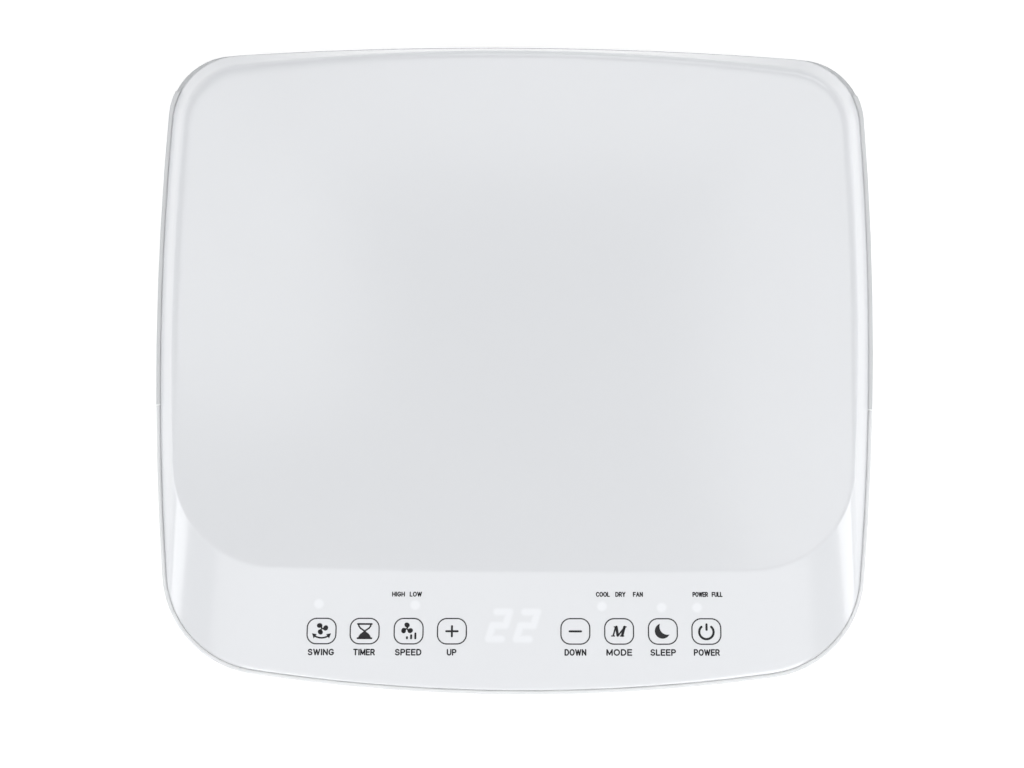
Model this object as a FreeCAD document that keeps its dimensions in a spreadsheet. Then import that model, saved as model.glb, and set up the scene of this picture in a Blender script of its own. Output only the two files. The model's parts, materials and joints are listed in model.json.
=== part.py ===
import FreeCAD, Part
import math
import os
import re

from FreeCAD import Placement, Rotation, Vector

# A small portable air conditioner: a rounded plastic tower on four castors. The upper chamber cools the
# room's air (rear grille and filter, evaporator, blower, outlet with swinging vanes), and the lower one
# carries the heat away (rear grille, condenser, compressor, blower, exhaust collar).
# Millimetres, +Z up, the front is -Y, and the origin is on the floor under the middle of the case.

doc = FreeCAD.newDocument("PortableAirConditioner")
X_AXIS, Y_AXIS, Z_AXIS = Vector(1, 0, 0), Vector(0, 1, 0), Vector(0, 0, 1)
TURN = {
    "Z": Rotation(),
    "Y": Rotation(X_AXIS, -90),
    "X": Rotation(Y_AXIS, 90),
}

# ---------------------------------------------------------------- driving dimensions
DIMENSIONS = {
    # the case seen from above: four shallow arcs and four corner arcs
    "half_width": 160.0,
    "front_reach": 144.5,
    "rear_reach": 144.5,
    "front_bow": 807.0,
    "side_bow": 1325.0,
    "rear_bow": 1803.0,
    "front_corner": 46.8,
    "rear_corner": 29.0,
    "seam_y": -16.5,
    # heights
    "case_bottom": 24.0,
    "case_height": 690.0,
    "rim_drop": 12.0,
    "skirt": 6.0,
    "pan_floor": 2.6,
    "tray_z": 386.0,
    # walls and gaps
    "front_wall": 1.8,
    "lap": 2.2,
    "rear_lap": 0.4,
    "wall": 2.8,
    "tongue": 1.8,
    "gap": 0.4,
    "lap_depth": 10.0,
    # the flat top inside the rim
    "plateau_half_width": 152.5,
    "plateau_front": 89.0,
    "plateau_rear": 142.4,
    "plateau_front_bow": 6000.0,
    "plateau_rear_bow": 965.0,
    "plateau_front_corner": 46.0,
    "plateau_rear_corner": 27.0,
    "cover_wall": 2.5,
    # air outlet in the front
    "outlet_half_width": 121.0,
    "outlet_z": 604.0,
    "outlet_half_height": 48.0,
    "outlet_corner": 12.0,
    "duct_wall": 5.6,
    "duct_rear": 88.0,
    # outlet slats, which tilt up and down
    "slat_count": 4.0,
    "slat_pitch": 20.0,
    "slat_y": -119.0,
    "slat_chord": 22.0,
    "slat_thick": 2.6,
    "slat_tilt": 20.0,
    "slat_crank": 7.5,
    "slat_link_x": 60.0,
    # outlet vanes, which swing left and right
    "vane_count": 5.0,
    "vane_pitch": 44.0,
    "vane_y": -92.0,
    "vane_nose": 7.0,
    "vane_tail": 15.0,
    "vane_thick": 1.8,
    "vane_crank": 10.0,
    "vane_link_z": 576.0,
    "swing_x": 104.0,
    # pins of both sets
    "pivot_pin": 2.0,
    "crank_pin": 1.25,
    "running": 0.06,
    # grilles in the rear
    "grille_half_width": 112.0,
    "upper_grille_low": 420.0,
    "upper_grille_high": 640.0,
    "lower_grille_low": 72.0,
    "lower_grille_high": 212.0,
    "grille_bar": 4.0,
    "grille_slot": 7.0,
    "grille_thick": 3.2,
    # exhaust collar for the hose
    "exhaust_radius": 65.0,
    "exhaust_z": 300.0,
    "exhaust_inner_y": 112.5,
    "exhaust_outer_y": 144.0,
    "collar_wall": 2.5,
    # side handles
    "handle_y": 68.0,
    "handle_half_length": 46.0,
    "handle_z": 590.0,
    "handle_half_height": 21.0,
    "handle_depth": 25.0,
    "handle_corner": 13.0,
    # castors
    "wheel_radius": 18.0,
    "wheel_width": 10.0,
    "castor_trail": 11.0,
    "castor_front_x": 106.0,
    "castor_front_y": -92.0,
    "castor_rear_x": 108.0,
    "castor_rear_y": 92.0,
    "pocket_radius": 38.5,
    "pocket_top": 49.5,
    "stem_radius": 4.0,
    # blowers
    "cold_wheel_radius": 60.0,
    "cold_axis_z": 478.0,
    "hot_wheel_radius": 52.0,
    "hot_axis_x": 40.0,
    "hot_axis_z": 150.0,
    "shaft_radius": 4.0,
    "scroll_front": 20.0,
    "scroll_depth": 62.0,
    "blade_count": 32.0,
    # coils
    "coil_y": 97.0,
    "coil_depth": 28.0,
    "coil_half_width": 104.0,
    # compressor
    "compressor_x": -68.0,
    "compressor_y": -46.0,
    "compressor_radius": 54.0,
    "compressor_low": 72.0,
    "compressor_high": 268.0,
    # touch panel behind the sloping front of the cover
    "key_count": 4.0,
    "key_pitch": 19.5,
    "key_inner_x": 27.8,
    "panel_y": -116.0,
}

sheet = doc.addObject("Spreadsheet::Sheet", "Dims")
for row, (alias, value) in enumerate(DIMENSIONS.items(), start=1):
    sheet.set(f"A{row}", alias)
    sheet.set(f"B{row}", repr(value))
    sheet.setAlias(f"B{row}", alias)
doc.recompute()


def size(alias):
    """The value of one cell of the sheet."""
    return float(sheet.get(alias))


def linked(text):
    """An expression in which every alias is read from the sheet."""
    return re.sub(r"[a-z][a-z_]*", lambda m: f"Dims.{m[0]}" if m[0] in DIMENSIONS else m[0], str(text))


def bind(thing, **cells):
    """Binds properties to the sheet. A double underscore in a name stands for a dot."""
    for name, text in cells.items():
        thing.setExpression(name.replace("__", "."), linked(text))
    return thing


# ---------------------------------------------------------------- building blocks
NODES = []


def node(thing, label):
    """Marks an object as one sub-part, whose label names its file."""
    thing.Label = label
    NODES.append(thing)
    return thing


def box(x, y, z, length, width, height):
    """A box given by its low corner and its sizes along X, Y and Z."""
    made = doc.addObject("Part::Box", "Block")
    bind(made, Length=length, Width=width, Height=height)
    return bind(made, Placement__Base__x=x, Placement__Base__y=y, Placement__Base__z=z)


def rod(x, y, z, radius, length, axis="Z"):
    """A cylinder from the centre of its low end, along X, Y or Z."""
    made = doc.addObject("Part::Cylinder", "Rod")
    made.Placement = Placement(Vector(), TURN[axis])
    bind(made, Radius=radius, Height=length)
    return bind(made, Placement__Base__x=x, Placement__Base__y=y, Placement__Base__z=z)


def cone(x, y, z, low_radius, high_radius, length, axis="Z"):
    """A cone from the centre of its low end, along X, Y or Z."""
    made = doc.addObject("Part::Cone", "Cone")
    made.Placement = Placement(Vector(), TURN[axis])
    bind(made, Radius1=low_radius, Radius2=high_radius, Height=length)
    return bind(made, Placement__Base__x=x, Placement__Base__y=y, Placement__Base__z=z)


def fuse(*things):
    made = doc.addObject("Part::MultiFuse", "Union")
    made.Shapes = list(things)
    made.Refine = True
    return made


def cut(base, *tools):
    made = doc.addObject("Part::Cut", "Difference")
    made.Base = base
    made.Tool = tools[0] if len(tools) == 1 else fuse(*tools)
    made.Refine = True
    return made


def common(one, other):
    made = doc.addObject("Part::Common", "Overlap")
    made.Base, made.Tool = one, other
    made.Refine = True
    return made


def group(*things):
    """Several separate solids that share one node."""
    made = doc.addObject("Part::Compound", "Set")
    made.Links = list(things)
    return made


def turned(thing, point, axis, degrees):
    """The object turned about an axis through a point."""
    spin = Placement(Vector(), Rotation(axis, degrees), point)
    thing.Placement = spin.multiply(thing.Placement)
    return thing


def held(thing):
    """A compound of one object, so that it can be turned while its own place stays bound to the sheet."""
    return group(thing)


def sketch(plane="XY", offset=0.0):
    """A free sketch in the XY, XZ (drawn as X and Z) or YZ (drawn as Y and Z) plane, at an offset."""
    made = doc.addObject("Sketcher::SketchObject", "Profile")
    if plane == "XY":
        made.Placement = Placement(Vector(0, 0, offset), Rotation())
    elif plane == "XZ":
        made.Placement = Placement(Vector(0, offset, 0), Rotation(X_AXIS, 90))
    else:
        made.Placement = Placement(Vector(offset, 0, 0), Rotation(Vector(1, 1, 1), 120))
    return made


def extrusion(profile, length, direction=Z_AXIS):
    made = doc.addObject("Part::Extrusion", "Block")
    made.Base = profile
    made.DirMode = "Custom"
    made.Dir = direction
    made.Solid = True
    return bind(made, LengthFwd=length)


def arc_between(first, last, centre, radius):
    """The shorter arc of a circle from one point to another."""
    middle = (first + last) * 0.5 - centre
    middle.normalize()
    return Part.Arc(first, centre + middle * radius, last)


def rounded_rectangle(profile, x, y, half_width, half_height, radius):
    """Adds a rectangle with round corners, about a centre, to a sketch."""
    inner_x, inner_y = half_width - radius, half_height - radius
    corners = [(1, 1, 0), (-1, 1, 90), (-1, -1, 180), (1, -1, 270)]
    ends = []
    for sign_x, sign_y, start in corners:
        centre = Vector(x + sign_x * inner_x, y + sign_y * inner_y, 0)
        circle = Part.Circle(centre, Z_AXIS, radius)
        first, last = math.radians(start), math.radians(start + 90)
        profile.addGeometry(Part.ArcOfCircle(circle, first, last))
        ends.append((circle.value(first), circle.value(last)))
    for index in range(4):
        profile.addGeometry(Part.LineSegment(ends[index][1], ends[(index + 1) % 4][0]))
    return profile


def rounded_block(plane, offset, x, y, half_width, half_height, radius, length, direction):
    """An extruded rectangle with round corners."""
    profile = rounded_rectangle(sketch(plane, offset), x, y, half_width, half_height, radius)
    return extrusion(profile, length, direction)


# ---------------------------------------------------------------- the outline of the case
class Outline:
    """Eight tangent arcs about the Y axis: front, two front corners, two sides, two rear corners, rear."""

    def __init__(self, half_width, front, rear, bows, corners, inset=0.0):
        front_bow, side_bow, rear_bow = (bow - inset for bow in bows)
        front_corner, rear_corner = corners
        self.front_centre = Vector(0, -(front - inset) + front_bow, 0)
        self.rear_centre = Vector(0, rear - inset - rear_bow, 0)
        self.side_centre = Vector(half_width - inset - side_bow, 0, 0)
        self.bows = front_bow, side_bow, rear_bow
        self.corners = front_corner, rear_corner
        self.front_corner = self._corner(self.front_centre, front_bow, side_bow, front_corner, -1)
        self.rear_corner = self._corner(self.rear_centre, rear_bow, side_bow, rear_corner, 1)

    def _corner(self, end_centre, end_bow, side_bow, radius, sign):
        """The centre of the corner arc that is tangent inside the end arc and the side arc."""
        one, other = end_bow - radius, side_bow - radius
        line = self.side_centre - end_centre
        along = (one**2 - other**2 + line.Length**2) / (2 * line.Length)
        across = math.sqrt(one**2 - along**2)
        line.normalize()
        normal = Vector(-line.y, line.x, 0)
        found = [end_centre + line * along + normal * side * across for side in (-1, 1)]
        return max((p for p in found if p.y * sign > 0), key=lambda p: p.x)

    def _touch(self, centre, bow, corner):
        """Where a corner arc meets the arc about this centre."""
        away = corner - centre
        away.normalize()
        return centre + away * bow

    def points(self):
        """The meeting points on the +X side, from the front to the rear."""
        front_bow, side_bow, rear_bow = self.bows
        return [
            self._touch(self.front_centre, front_bow, self.front_corner),
            self._touch(self.side_centre, side_bow, self.front_corner),
            self._touch(self.side_centre, side_bow, self.rear_corner),
            self._touch(self.rear_centre, rear_bow, self.rear_corner),
        ]

    def side_point(self, y):
        """The point of the +X side arc at this y."""
        side_bow = self.bows[1]
        return Vector(self.side_centre.x + math.sqrt(side_bow**2 - y**2), y, 0)

    def arcs(self, first_y=None, last_y=None):
        """The arcs in order round the outline. With first_y it is the part behind that y, with last_y the
        part in front of it, and otherwise the whole."""
        front_bow, side_bow, rear_bow = self.bows
        front_corner, rear_corner = self.corners
        a, b, c, d = self.points()
        mirror = lambda p: Vector(-p.x, p.y, p.z)
        whole = first_y is None and last_y is None
        found = []
        if first_y is None:
            low = b if whole else self.side_point(last_y)
            front = [
                (mirror(b), mirror(a), mirror(self.front_corner), front_corner),
                (mirror(a), a, self.front_centre, front_bow),
                (a, b, self.front_corner, front_corner),
            ]
            if not whole:
                front.insert(0, (mirror(low), mirror(b), mirror(self.side_centre), side_bow))
                front.append((b, low, self.side_centre, side_bow))
            found += front
        if last_y is None:
            start = b if whole else self.side_point(first_y)
            found += [
                (start, c, self.side_centre, side_bow),
                (c, d, self.rear_corner, rear_corner),
                (d, mirror(d), self.rear_centre, rear_bow),
                (mirror(d), mirror(c), mirror(self.rear_corner), rear_corner),
                (mirror(c), mirror(start), mirror(self.side_centre), side_bow),
            ]
        return [arc_between(*arc) for arc in found]


def case_outline(inset, front_corner=None):
    """The outline of the case, moved inwards by an inset."""
    corners = (front_corner or size("front_corner") - inset, size("rear_corner") - inset)
    bows = (size("front_bow"), size("side_bow"), size("rear_bow"))
    return Outline(size("half_width"), size("front_reach"), size("rear_reach"), bows, corners, inset)


def plateau_outline(inset):
    """The outline of the flat top, moved inwards by an inset."""
    corners = (size("plateau_front_corner") - inset, size("plateau_rear_corner") - inset)
    bows = (size("plateau_front_bow"), size("side_bow"), size("plateau_rear_bow"))
    return Outline(
        size("plateau_half_width"), size("plateau_front"), size("plateau_rear"), bows, corners, inset
    )


# The line between the cover and the shells follows the outside of the case in front, is rounder at the rear
# corners, and runs out to the edge of the case at the rear.
RIM_FRONT_CORNER = size("front_corner") - 2.0
RIM_REAR_CORNER = size("rear_corner") + 2.0


def cover_outline(inset):
    """The outline of the top cover, moved inwards by an inset."""
    lap = size("lap")
    bows = (size("front_bow") - lap, size("side_bow") - lap, size("rear_bow") - size("rear_lap"))
    corners = (RIM_FRONT_CORNER - inset, RIM_REAR_CORNER - inset)
    return Outline(
        size("half_width") - lap, size("front_reach") - lap, size("rear_reach") - size("rear_lap"),
        bows, corners, inset,
    )


def slab(outline, low, height):
    """A block of the whole outline, from a height upwards. Both are expressions."""
    profile = sketch()
    profile.addGeometry(outline.arcs())
    bind(profile, Placement__Base__z=low)
    return extrusion(profile, height)


def band(outer, inner, low, height, first_y=None, last_y=None):
    """A wall between two outlines, either the part behind first_y or the part in front of last_y."""
    profile = sketch()
    outside, inside = outer.arcs(first_y, last_y), inner.arcs(first_y, last_y)
    profile.addGeometry(outside + inside)
    if first_y is not None or last_y is not None:
        profile.addGeometry([
            Part.LineSegment(outside[0].StartPoint, inside[0].StartPoint),
            Part.LineSegment(outside[-1].EndPoint, inside[-1].EndPoint),
        ])
    bind(profile, Placement__Base__z=low)
    return extrusion(profile, height)


# ---------------------------------------------------------------- the case
def front_shell():
    """The wrap-round front panel, with the opening for the air outlet and a styling groove."""
    outer, inner = case_outline(0), case_outline(size("front_wall"), RIM_FRONT_CORNER + 0.4)
    low = "case_bottom + pan_floor + gap"
    height = "case_height - rim_drop - case_bottom - pan_floor - gap"
    wall = band(outer, inner, low, height, last_y=size("seam_y"))
    opening = rounded_block(
        "XZ", -100, 0, size("outlet_z"), size("outlet_half_width"), size("outlet_half_height"),
        size("outlet_corner"), 60, -Y_AXIS,
    )
    groove = band(case_outline(-2), case_outline(0.9), "outlet_z - outlet_half_height - 16", 1.6, last_y=0)
    rim_top = cut(wall, opening, groove)
    doc.recompute()
    rounded = doc.addObject("Part::Fillet", "RoundRim")
    rounded.Base = rim_top
    top = size("case_height") - size("rim_drop")
    outer_edges = [
        index
        for index, edge in enumerate(rim_top.Shape.Edges, start=1)
        if edge.BoundBox.ZMin > top - 0.01 and distance_from(edge, outer) < 0.05
    ]
    rounded.Edges = [(index, 1.4, 1.4) for index in outer_edges]
    return node(rounded, "front_shell")


def distance_from(edge, outline):
    """How far the middle of an edge is from the arcs of an outline, seen from above."""
    middle = edge.valueAt((edge.FirstParameter + edge.LastParameter) / 2)
    spot = Part.Vertex(Vector(middle.x, middle.y, 0))
    return min(arc.toShape().distToShape(spot)[0] for arc in outline.arcs())


def grille_opening(low, high, margin):
    """A block through the rear wall for a grille, with a margin round it."""
    middle, half = (size(low) + size(high)) / 2, (size(high) - size(low)) / 2
    half_width = size("grille_half_width")
    return rounded_block("XZ", 170, 0, middle, half_width + margin, half + margin, 9 + margin, 60, -Y_AXIS)


def handle_block(margin, x_side, depth):
    """A round-cornered block that reaches in from one side wall."""
    profile = sketch("YZ", x_side * 175)
    rounded_rectangle(
        profile, size("handle_y"), size("handle_z"), size("handle_half_length") + margin,
        size("handle_half_height") + margin, size("handle_corner") + margin,
    )
    return extrusion(profile, depth, -X_AXIS * x_side)


SCREW_PLACES = [(x, z) for x in (-121, 121) for z in (238, 412, 655)]
SCREW_SEAT_Y = 138.6
SIDE_SLOTS = [30 + 11 * index for index in range(8)]
DRAIN_X, DRAIN_Z = -122.0, 372.0
GLAND_X, GLAND_Z = 104.0, 250.0
PLUG_X, PLUG_Z = 60.0, 46.0
RIM_END_Y = 124.0


def rear_shell():
    """The rear and both sides behind the seam, with a tongue inside the front shell and, along the sides,
    a rim that carries on round the cover."""
    seam = size("seam_y") + size("gap")
    low = "case_bottom + pan_floor + gap"
    height = "case_height - rim_drop - skirt - gap - case_bottom - pan_floor - gap"
    main = band(case_outline(0), case_outline(size("wall")), low, height, first_y=seam)
    tongue_out = case_outline(size("front_wall") + size("gap"))
    tongue_in = case_outline(size("front_wall") + size("gap") + size("tongue"))
    tongue = cut(
        band(tongue_out, tongue_in, low, height, first_y=seam - size("lap_depth")),
        box(-200, seam + 6, 0, 400, 200, "case_height"),
    )
    rim_low = "case_height - rim_drop - skirt - gap - 1"
    behind_seam = box(-200, seam, 0, 400, RIM_END_Y - seam, 700)
    sides = common(slab(case_outline(0), rim_low, "skirt + gap + 1"), behind_seam)
    rim = cut(sides, slab(cover_outline(-size("gap")), 600, 100))
    wall = fuse(main, tongue, rim)
    tools = [
        grille_opening("upper_grille_low", "upper_grille_high", 0.0),
        grille_opening("lower_grille_low", "lower_grille_high", 0.0),
        rod(0, 120, "exhaust_z", "exhaust_radius + collar_wall + gap", 40, "Y"),
        rod(GLAND_X, 120, GLAND_Z, 6.1, 40, "Y"),
        rod(DRAIN_X, 120, DRAIN_Z, 14.0, 40, "Y"),
        rod(PLUG_X, 120, PLUG_Z, 8.0, 40, "Y"),
        handle_block(0.0, 1, 60),
        handle_block(0.0, -1, 60),
    ]
    for x, z in SCREW_PLACES:
        tools += [rod(x, 120, z, 1.9, 30, "Y"), rod(x, SCREW_SEAT_Y, z, 3.9, 10, "Y")]
    for side in (-1, 1):
        tools += [
            rounded_block("YZ", side * 175, y, 150, 2.2, 42, 2.1, 60, -X_AXIS * side) for y in SIDE_SLOTS
        ]
    return node(cut(wall, *tools), "rear_shell")


def cover_block(inset, drop):
    """The cover's outer form, or with an inset and a drop its hollow: a skirt, and above it faces that
    rise from the rim to the flat top."""
    rim_outline = cover_outline(inset)
    rim, flat = sketch(), sketch()
    rim.addGeometry(rim_outline.arcs())
    flat.addGeometry(plateau_outline(inset).arcs())
    bind(rim, Placement__Base__z=f"case_height - rim_drop - {drop}")
    bind(flat, Placement__Base__z=f"case_height - {drop}")
    slope = doc.addObject("Part::Loft", "Slope")
    slope.Sections = [rim, flat]
    slope.Solid, slope.Ruled = True, True
    skirt = slab(rim_outline, "case_height - rim_drop - skirt", f"skirt - {drop}")
    return fuse(skirt, slope)


def top_cover():
    """The flat top with the control slope along its front edge, as one hollow moulding."""
    return node(cut(cover_block(0, 0), cover_block(size("cover_wall"), "cover_wall")), "top_cover")


CONDENSER_LOW, CONDENSER_HIGH = 66.0, 222.0
EVAPORATOR_LOW, EVAPORATOR_HIGH = 389.0, 634.0
CASTORS = {
    "front_left": (-1, "front"),
    "front_right": (1, "front"),
    "rear_left": (-1, "rear"),
    "rear_right": (1, "rear"),
}
FOOT_SPOTS = [
    (
        size("compressor_x") + 62 * math.cos(math.radians(angle)),
        size("compressor_y") + 62 * math.sin(math.radians(angle)),
    )
    for angle in (20, 140, 260)
]


def base_pan():
    """The bottom tray: sump, castor pockets with stem sockets, posts for the compressor, drain bore."""
    plate = slab(case_outline(0.8), "case_bottom", "pan_floor")
    wall = band(case_outline(5.2), case_outline(7.4), "case_bottom + 2", 36)
    solids, hollows = [plate, wall], []
    for side, end in CASTORS.values():
        x, y = f"{side} * castor_{end}_x", f"castor_{end}_y"
        solids += [
            rod(x, y, "case_bottom", "pocket_radius + 2.2", "pocket_top + 2.4 - case_bottom"),
            rod(x, y, "pocket_top", 8.5, 14.5),
        ]
        hollows += [
            rod(x, y, "case_bottom - 1", "pocket_radius", "pocket_top - case_bottom + 1"),
            rod(x, y, "pocket_top - 1", "stem_radius + running", 13.5),
        ]
    for x, y in FOOT_SPOTS:
        solids.append(rod(x, y, "case_bottom", 8, 32))
    solids.append(rod(PLUG_X, 126, PLUG_Z, 8.5, 12.5, "Y"))
    hollows.append(rod(PLUG_X, 120, PLUG_Z, 5.0, 30, "Y"))
    solids.append(box(-20, -128, "case_bottom", 80, 40, 34))
    hollows.append(box(-17, -125, "case_bottom + pan_floor", 74, 34, 40))
    for x in (-60, 52):
        solids.append(box(x, "coil_y + 1", "case_bottom", 8, "coil_depth - 2", CONDENSER_LOW - 24))
    return node(cut(fuse(*solids), *hollows), "base_pan")


def divider_tray():
    """The tray between the chambers, which catches the evaporator's water, with its drain spout."""
    outline, inner = case_outline(5.2), case_outline(7.2)
    plate = slab(outline, "tray_z", 3)
    rim = band(outline, inner, "tray_z + 3", 14)
    spout = rod(DRAIN_X, 112, DRAIN_Z, 9.0, 26.5, "Y")
    drop = rod(DRAIN_X, 116, DRAIN_Z, 6.0, "tray_z + 1 - {0}".format(DRAIN_Z))
    bore = rod(DRAIN_X, 113, DRAIN_Z, 6.5, 40, "Y")
    well = rod(DRAIN_X, 118, DRAIN_Z, 4.0, 30)
    pipes = [rod(x, y, "tray_z - 5", 5.0, 20) for x, y in PIPE_HOLES]
    return node(cut(fuse(plate, rim, spout, drop), bore, well, *pipes), "divider_tray")


def handles():
    """The two finger cups in the sides, flush with the curved wall."""
    for side, name in ((-1, "handle_left"), (1, "handle_right")):
        depth = 175 - (size("half_width") - size("lap") - size("handle_depth") - 2)
        outer = handle_block(-0.3, side, depth)
        inner = handle_block(-2.3, side, depth - 2)
        inside = slab(case_outline(0.2), "handle_z - 60", 120)
        node(cut(common(outer, inside), inner), name)


def housing_screws():
    """Six screws that hold the rear shell."""
    screws = []
    for x, z in SCREW_PLACES:
        head = rod(x, SCREW_SEAT_Y, z, 3.5, 1.5, "Y")
        shank = rod(x, SCREW_SEAT_Y - 14, z, 1.85, 14.2, "Y")
        slots = [
            box(x - 2.4, SCREW_SEAT_Y + 0.9, z - 0.4, 4.8, 2, 0.8),
            box(x - 0.4, SCREW_SEAT_Y + 0.9, z - 2.4, 0.8, 2, 4.8),
        ]
        screws.append(cut(fuse(head, shank), *slots))
    return node(group(*screws), "housing_screws")


def cord_gland():
    """The bush where the mains lead would leave: two flanges and a neck in the rear wall."""
    solids = [
        rod(GLAND_X, 142.1, GLAND_Z, 8.5, 2.2, "Y"),
        rod(GLAND_X, 135.4, GLAND_Z, 6.0, 8, "Y"),
        rod(GLAND_X, 135.4, GLAND_Z, 8.0, 2.4, "Y"),
    ]
    return node(cut(fuse(*solids), rod(GLAND_X, 130, GLAND_Z, 3.7, 20, "Y")), "cord_gland")


# ---------------------------------------------------------------- rear grilles, exhaust and drains
def grille(low, high, name):
    """A grille of horizontal bars in two columns, curved like the rear wall."""
    frame = common(
        grille_opening(low, high, -0.5),
        cut(
            slab(case_outline(0.2), f"{low} - 5", f"{high} - {low} + 10"),
            slab(case_outline(0.2 + size("grille_thick")), f"{low} - 6", f"{high} - {low} + 12"),
        ),
    )
    behind = cut(frame, box(-200, -200, f"{low} - 10", 400, 300, f"{high} - {low} + 20"))
    pitch = size("grille_bar") + size("grille_slot")
    span = size(high) - size(low) - 20
    count = int((span + size("grille_bar")) // pitch)
    start = (size(high) + size(low)) / 2 - (count * pitch - size("grille_bar")) / 2
    slots = []
    for row in range(count):
        for side in (-1, 1):
            x = "5" if side > 0 else "-(grille_half_width - 10)"
            slots.append(box(x, 120, start + row * pitch, "grille_half_width - 15", 40, "grille_slot"))
    return node(cut(behind, *slots), name)


FILTER_Y = 132.0


def upper_filter():
    """The dust filter: a frame with ribs and a thin sheet of mesh, clipped behind the upper grille."""
    low, height = "upper_grille_low + 5", "upper_grille_high - upper_grille_low - 10"
    frame = box("-grille_half_width + 5", FILTER_Y, low, "2 * grille_half_width - 10", 3, height)
    columns, rows, rib = 4, 4, 4.0
    width = (2 * size("grille_half_width") - 10 - rib * (columns + 1)) / columns
    tall = (size("upper_grille_high") - size("upper_grille_low") - 10 - rib * (rows + 1)) / rows
    windows = []
    for column in range(columns):
        for row in range(rows):
            x = -size("grille_half_width") + 5 + rib + column * (width + rib)
            z = size("upper_grille_low") + 5 + rib + row * (tall + rib)
            windows += [
                box(x, FILTER_Y - 1, z, width, 2, tall), box(x, FILTER_Y + 1.8, z, width, 5, tall)
            ]
    return node(cut(frame, *windows), "upper_filter")


def exhaust_collar():
    """The socket for the exhaust hose, with its flange inside the wall and a guard at its inner end."""
    tube = rod(0, "exhaust_inner_y", "exhaust_z", "exhaust_radius + collar_wall",
               "exhaust_outer_y - exhaust_inner_y", "Y")
    flange = rod(0, 137.0, "exhaust_z", "exhaust_radius + 10", 3, "Y")
    guard = rod(0, "exhaust_inner_y - 3", "exhaust_z", "exhaust_radius + collar_wall", 3, "Y")
    bore = rod(0, "exhaust_inner_y", "exhaust_z", "exhaust_radius", 60, "Y")
    windows = []
    for row in range(-4, 5):
        half = math.sqrt((size("exhaust_radius") - 4) ** 2 - (abs(row) * 13 + 5) ** 2)
        z = size("exhaust_z") + row * 13 - 4.75
        for side in (-1, 1):
            x = 2 if side > 0 else -half
            windows.append(box(x, 100, z, half - 2, 20, 9.5))
    return node(cut(fuse(tube, flange, guard), bore, *windows), "exhaust_collar")


def drain_cap():
    """The cap over the tray's drain spout, on a strap hinge below it."""
    rear = 139.5
    cap = fuse(rod(DRAIN_X, rear, DRAIN_Z, 12.5, 3.0, "Y"), rod(DRAIN_X, rear - 4, DRAIN_Z, 12.5, 5, "Y"))
    hollow = rod(DRAIN_X, rear - 6, DRAIN_Z, 9.8, 6.2, "Y")
    grip = box(DRAIN_X - 9, rear + 2.5, DRAIN_Z - 1.2, 18, 2.4, 2.4)
    return node(cut(fuse(cap, grip), hollow), "drain_cap")


def drain_plug():
    """The rubber plug in the sump's drain bore."""
    solids = [
        rod(PLUG_X, 124, PLUG_Z, 4.95, 16, "Y"),
        rod(PLUG_X, 138.7, PLUG_Z, 7.2, 3.0, "Y"),
        box(PLUG_X - 1.4, 141, PLUG_Z - 5, 2.8, 3.2, 10),
    ]
    return node(fuse(*solids), "drain_plug")


# ---------------------------------------------------------------- air outlet
SLATS = range(1, int(size("slat_count")) + 1)
VANES = range(1, int(size("vane_count")) + 1)


def slat_z(index):
    return size("outlet_z") + (index - (size("slat_count") + 1) / 2) * size("slat_pitch")


def vane_x(index):
    return (index - (size("vane_count") + 1) / 2) * size("vane_pitch")


def outlet_frame():
    """The outlet's duct: its front edge is flush with the panel, and its floor opens to the blower."""
    half_w, half_h = size("outlet_half_width") - 0.4, size("outlet_half_height") - 0.4
    wall, corner = size("duct_wall"), size("outlet_corner")
    z, rear = size("outlet_z"), size("duct_rear")
    body = rounded_block("XZ", rear, 0, z, half_w, half_h, corner - 0.4, 260, -Y_AXIS)
    flange = rounded_block("XZ", -121.5, 0, z, half_w + 6, half_h + 6, corner, 3, -Y_AXIS)
    inside = slab(case_outline(0.6), "outlet_z - 80", 160)
    shaped = common(fuse(body, flange), inside)
    bore = rounded_block("XZ", rear - 3, 0, z, half_w - wall, half_h - wall, corner - wall, 260, -Y_AXIS)
    lead_in = doc.addObject("Part::Loft", "LeadIn")
    sections = []
    for offset, extra in ((-131.0, 0.0), (-150.0, 6.0)):
        profile = sketch("XZ", offset)
        wide, tall = half_w - wall + extra, half_h - wall + extra
        sections.append(rounded_rectangle(profile, 0, z, wide, tall, corner - wall + extra))
    lead_in.Sections = sections
    lead_in.Solid, lead_in.Ruled = True, True
    throat = box(-2, "scroll_front + 2", "outlet_z - outlet_half_height - 2", 80, "scroll_depth - 4", 12)
    holes = [
        rod(-size("outlet_half_width") - 4, "slat_y", slat_z(index), "pivot_pin + running",
            "2 * outlet_half_width + 8", "X")
        for index in SLATS
    ]
    holes += [
        rod(vane_x(index), "vane_y", "outlet_z - 60", "pivot_pin + running", 120) for index in VANES
    ]
    holes.append(rod("swing_x", "vane_y", "outlet_z - 60", 3.0, 30))
    return node(cut(shaped, bore, lead_in, throat, *holes), "outlet_frame")


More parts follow.
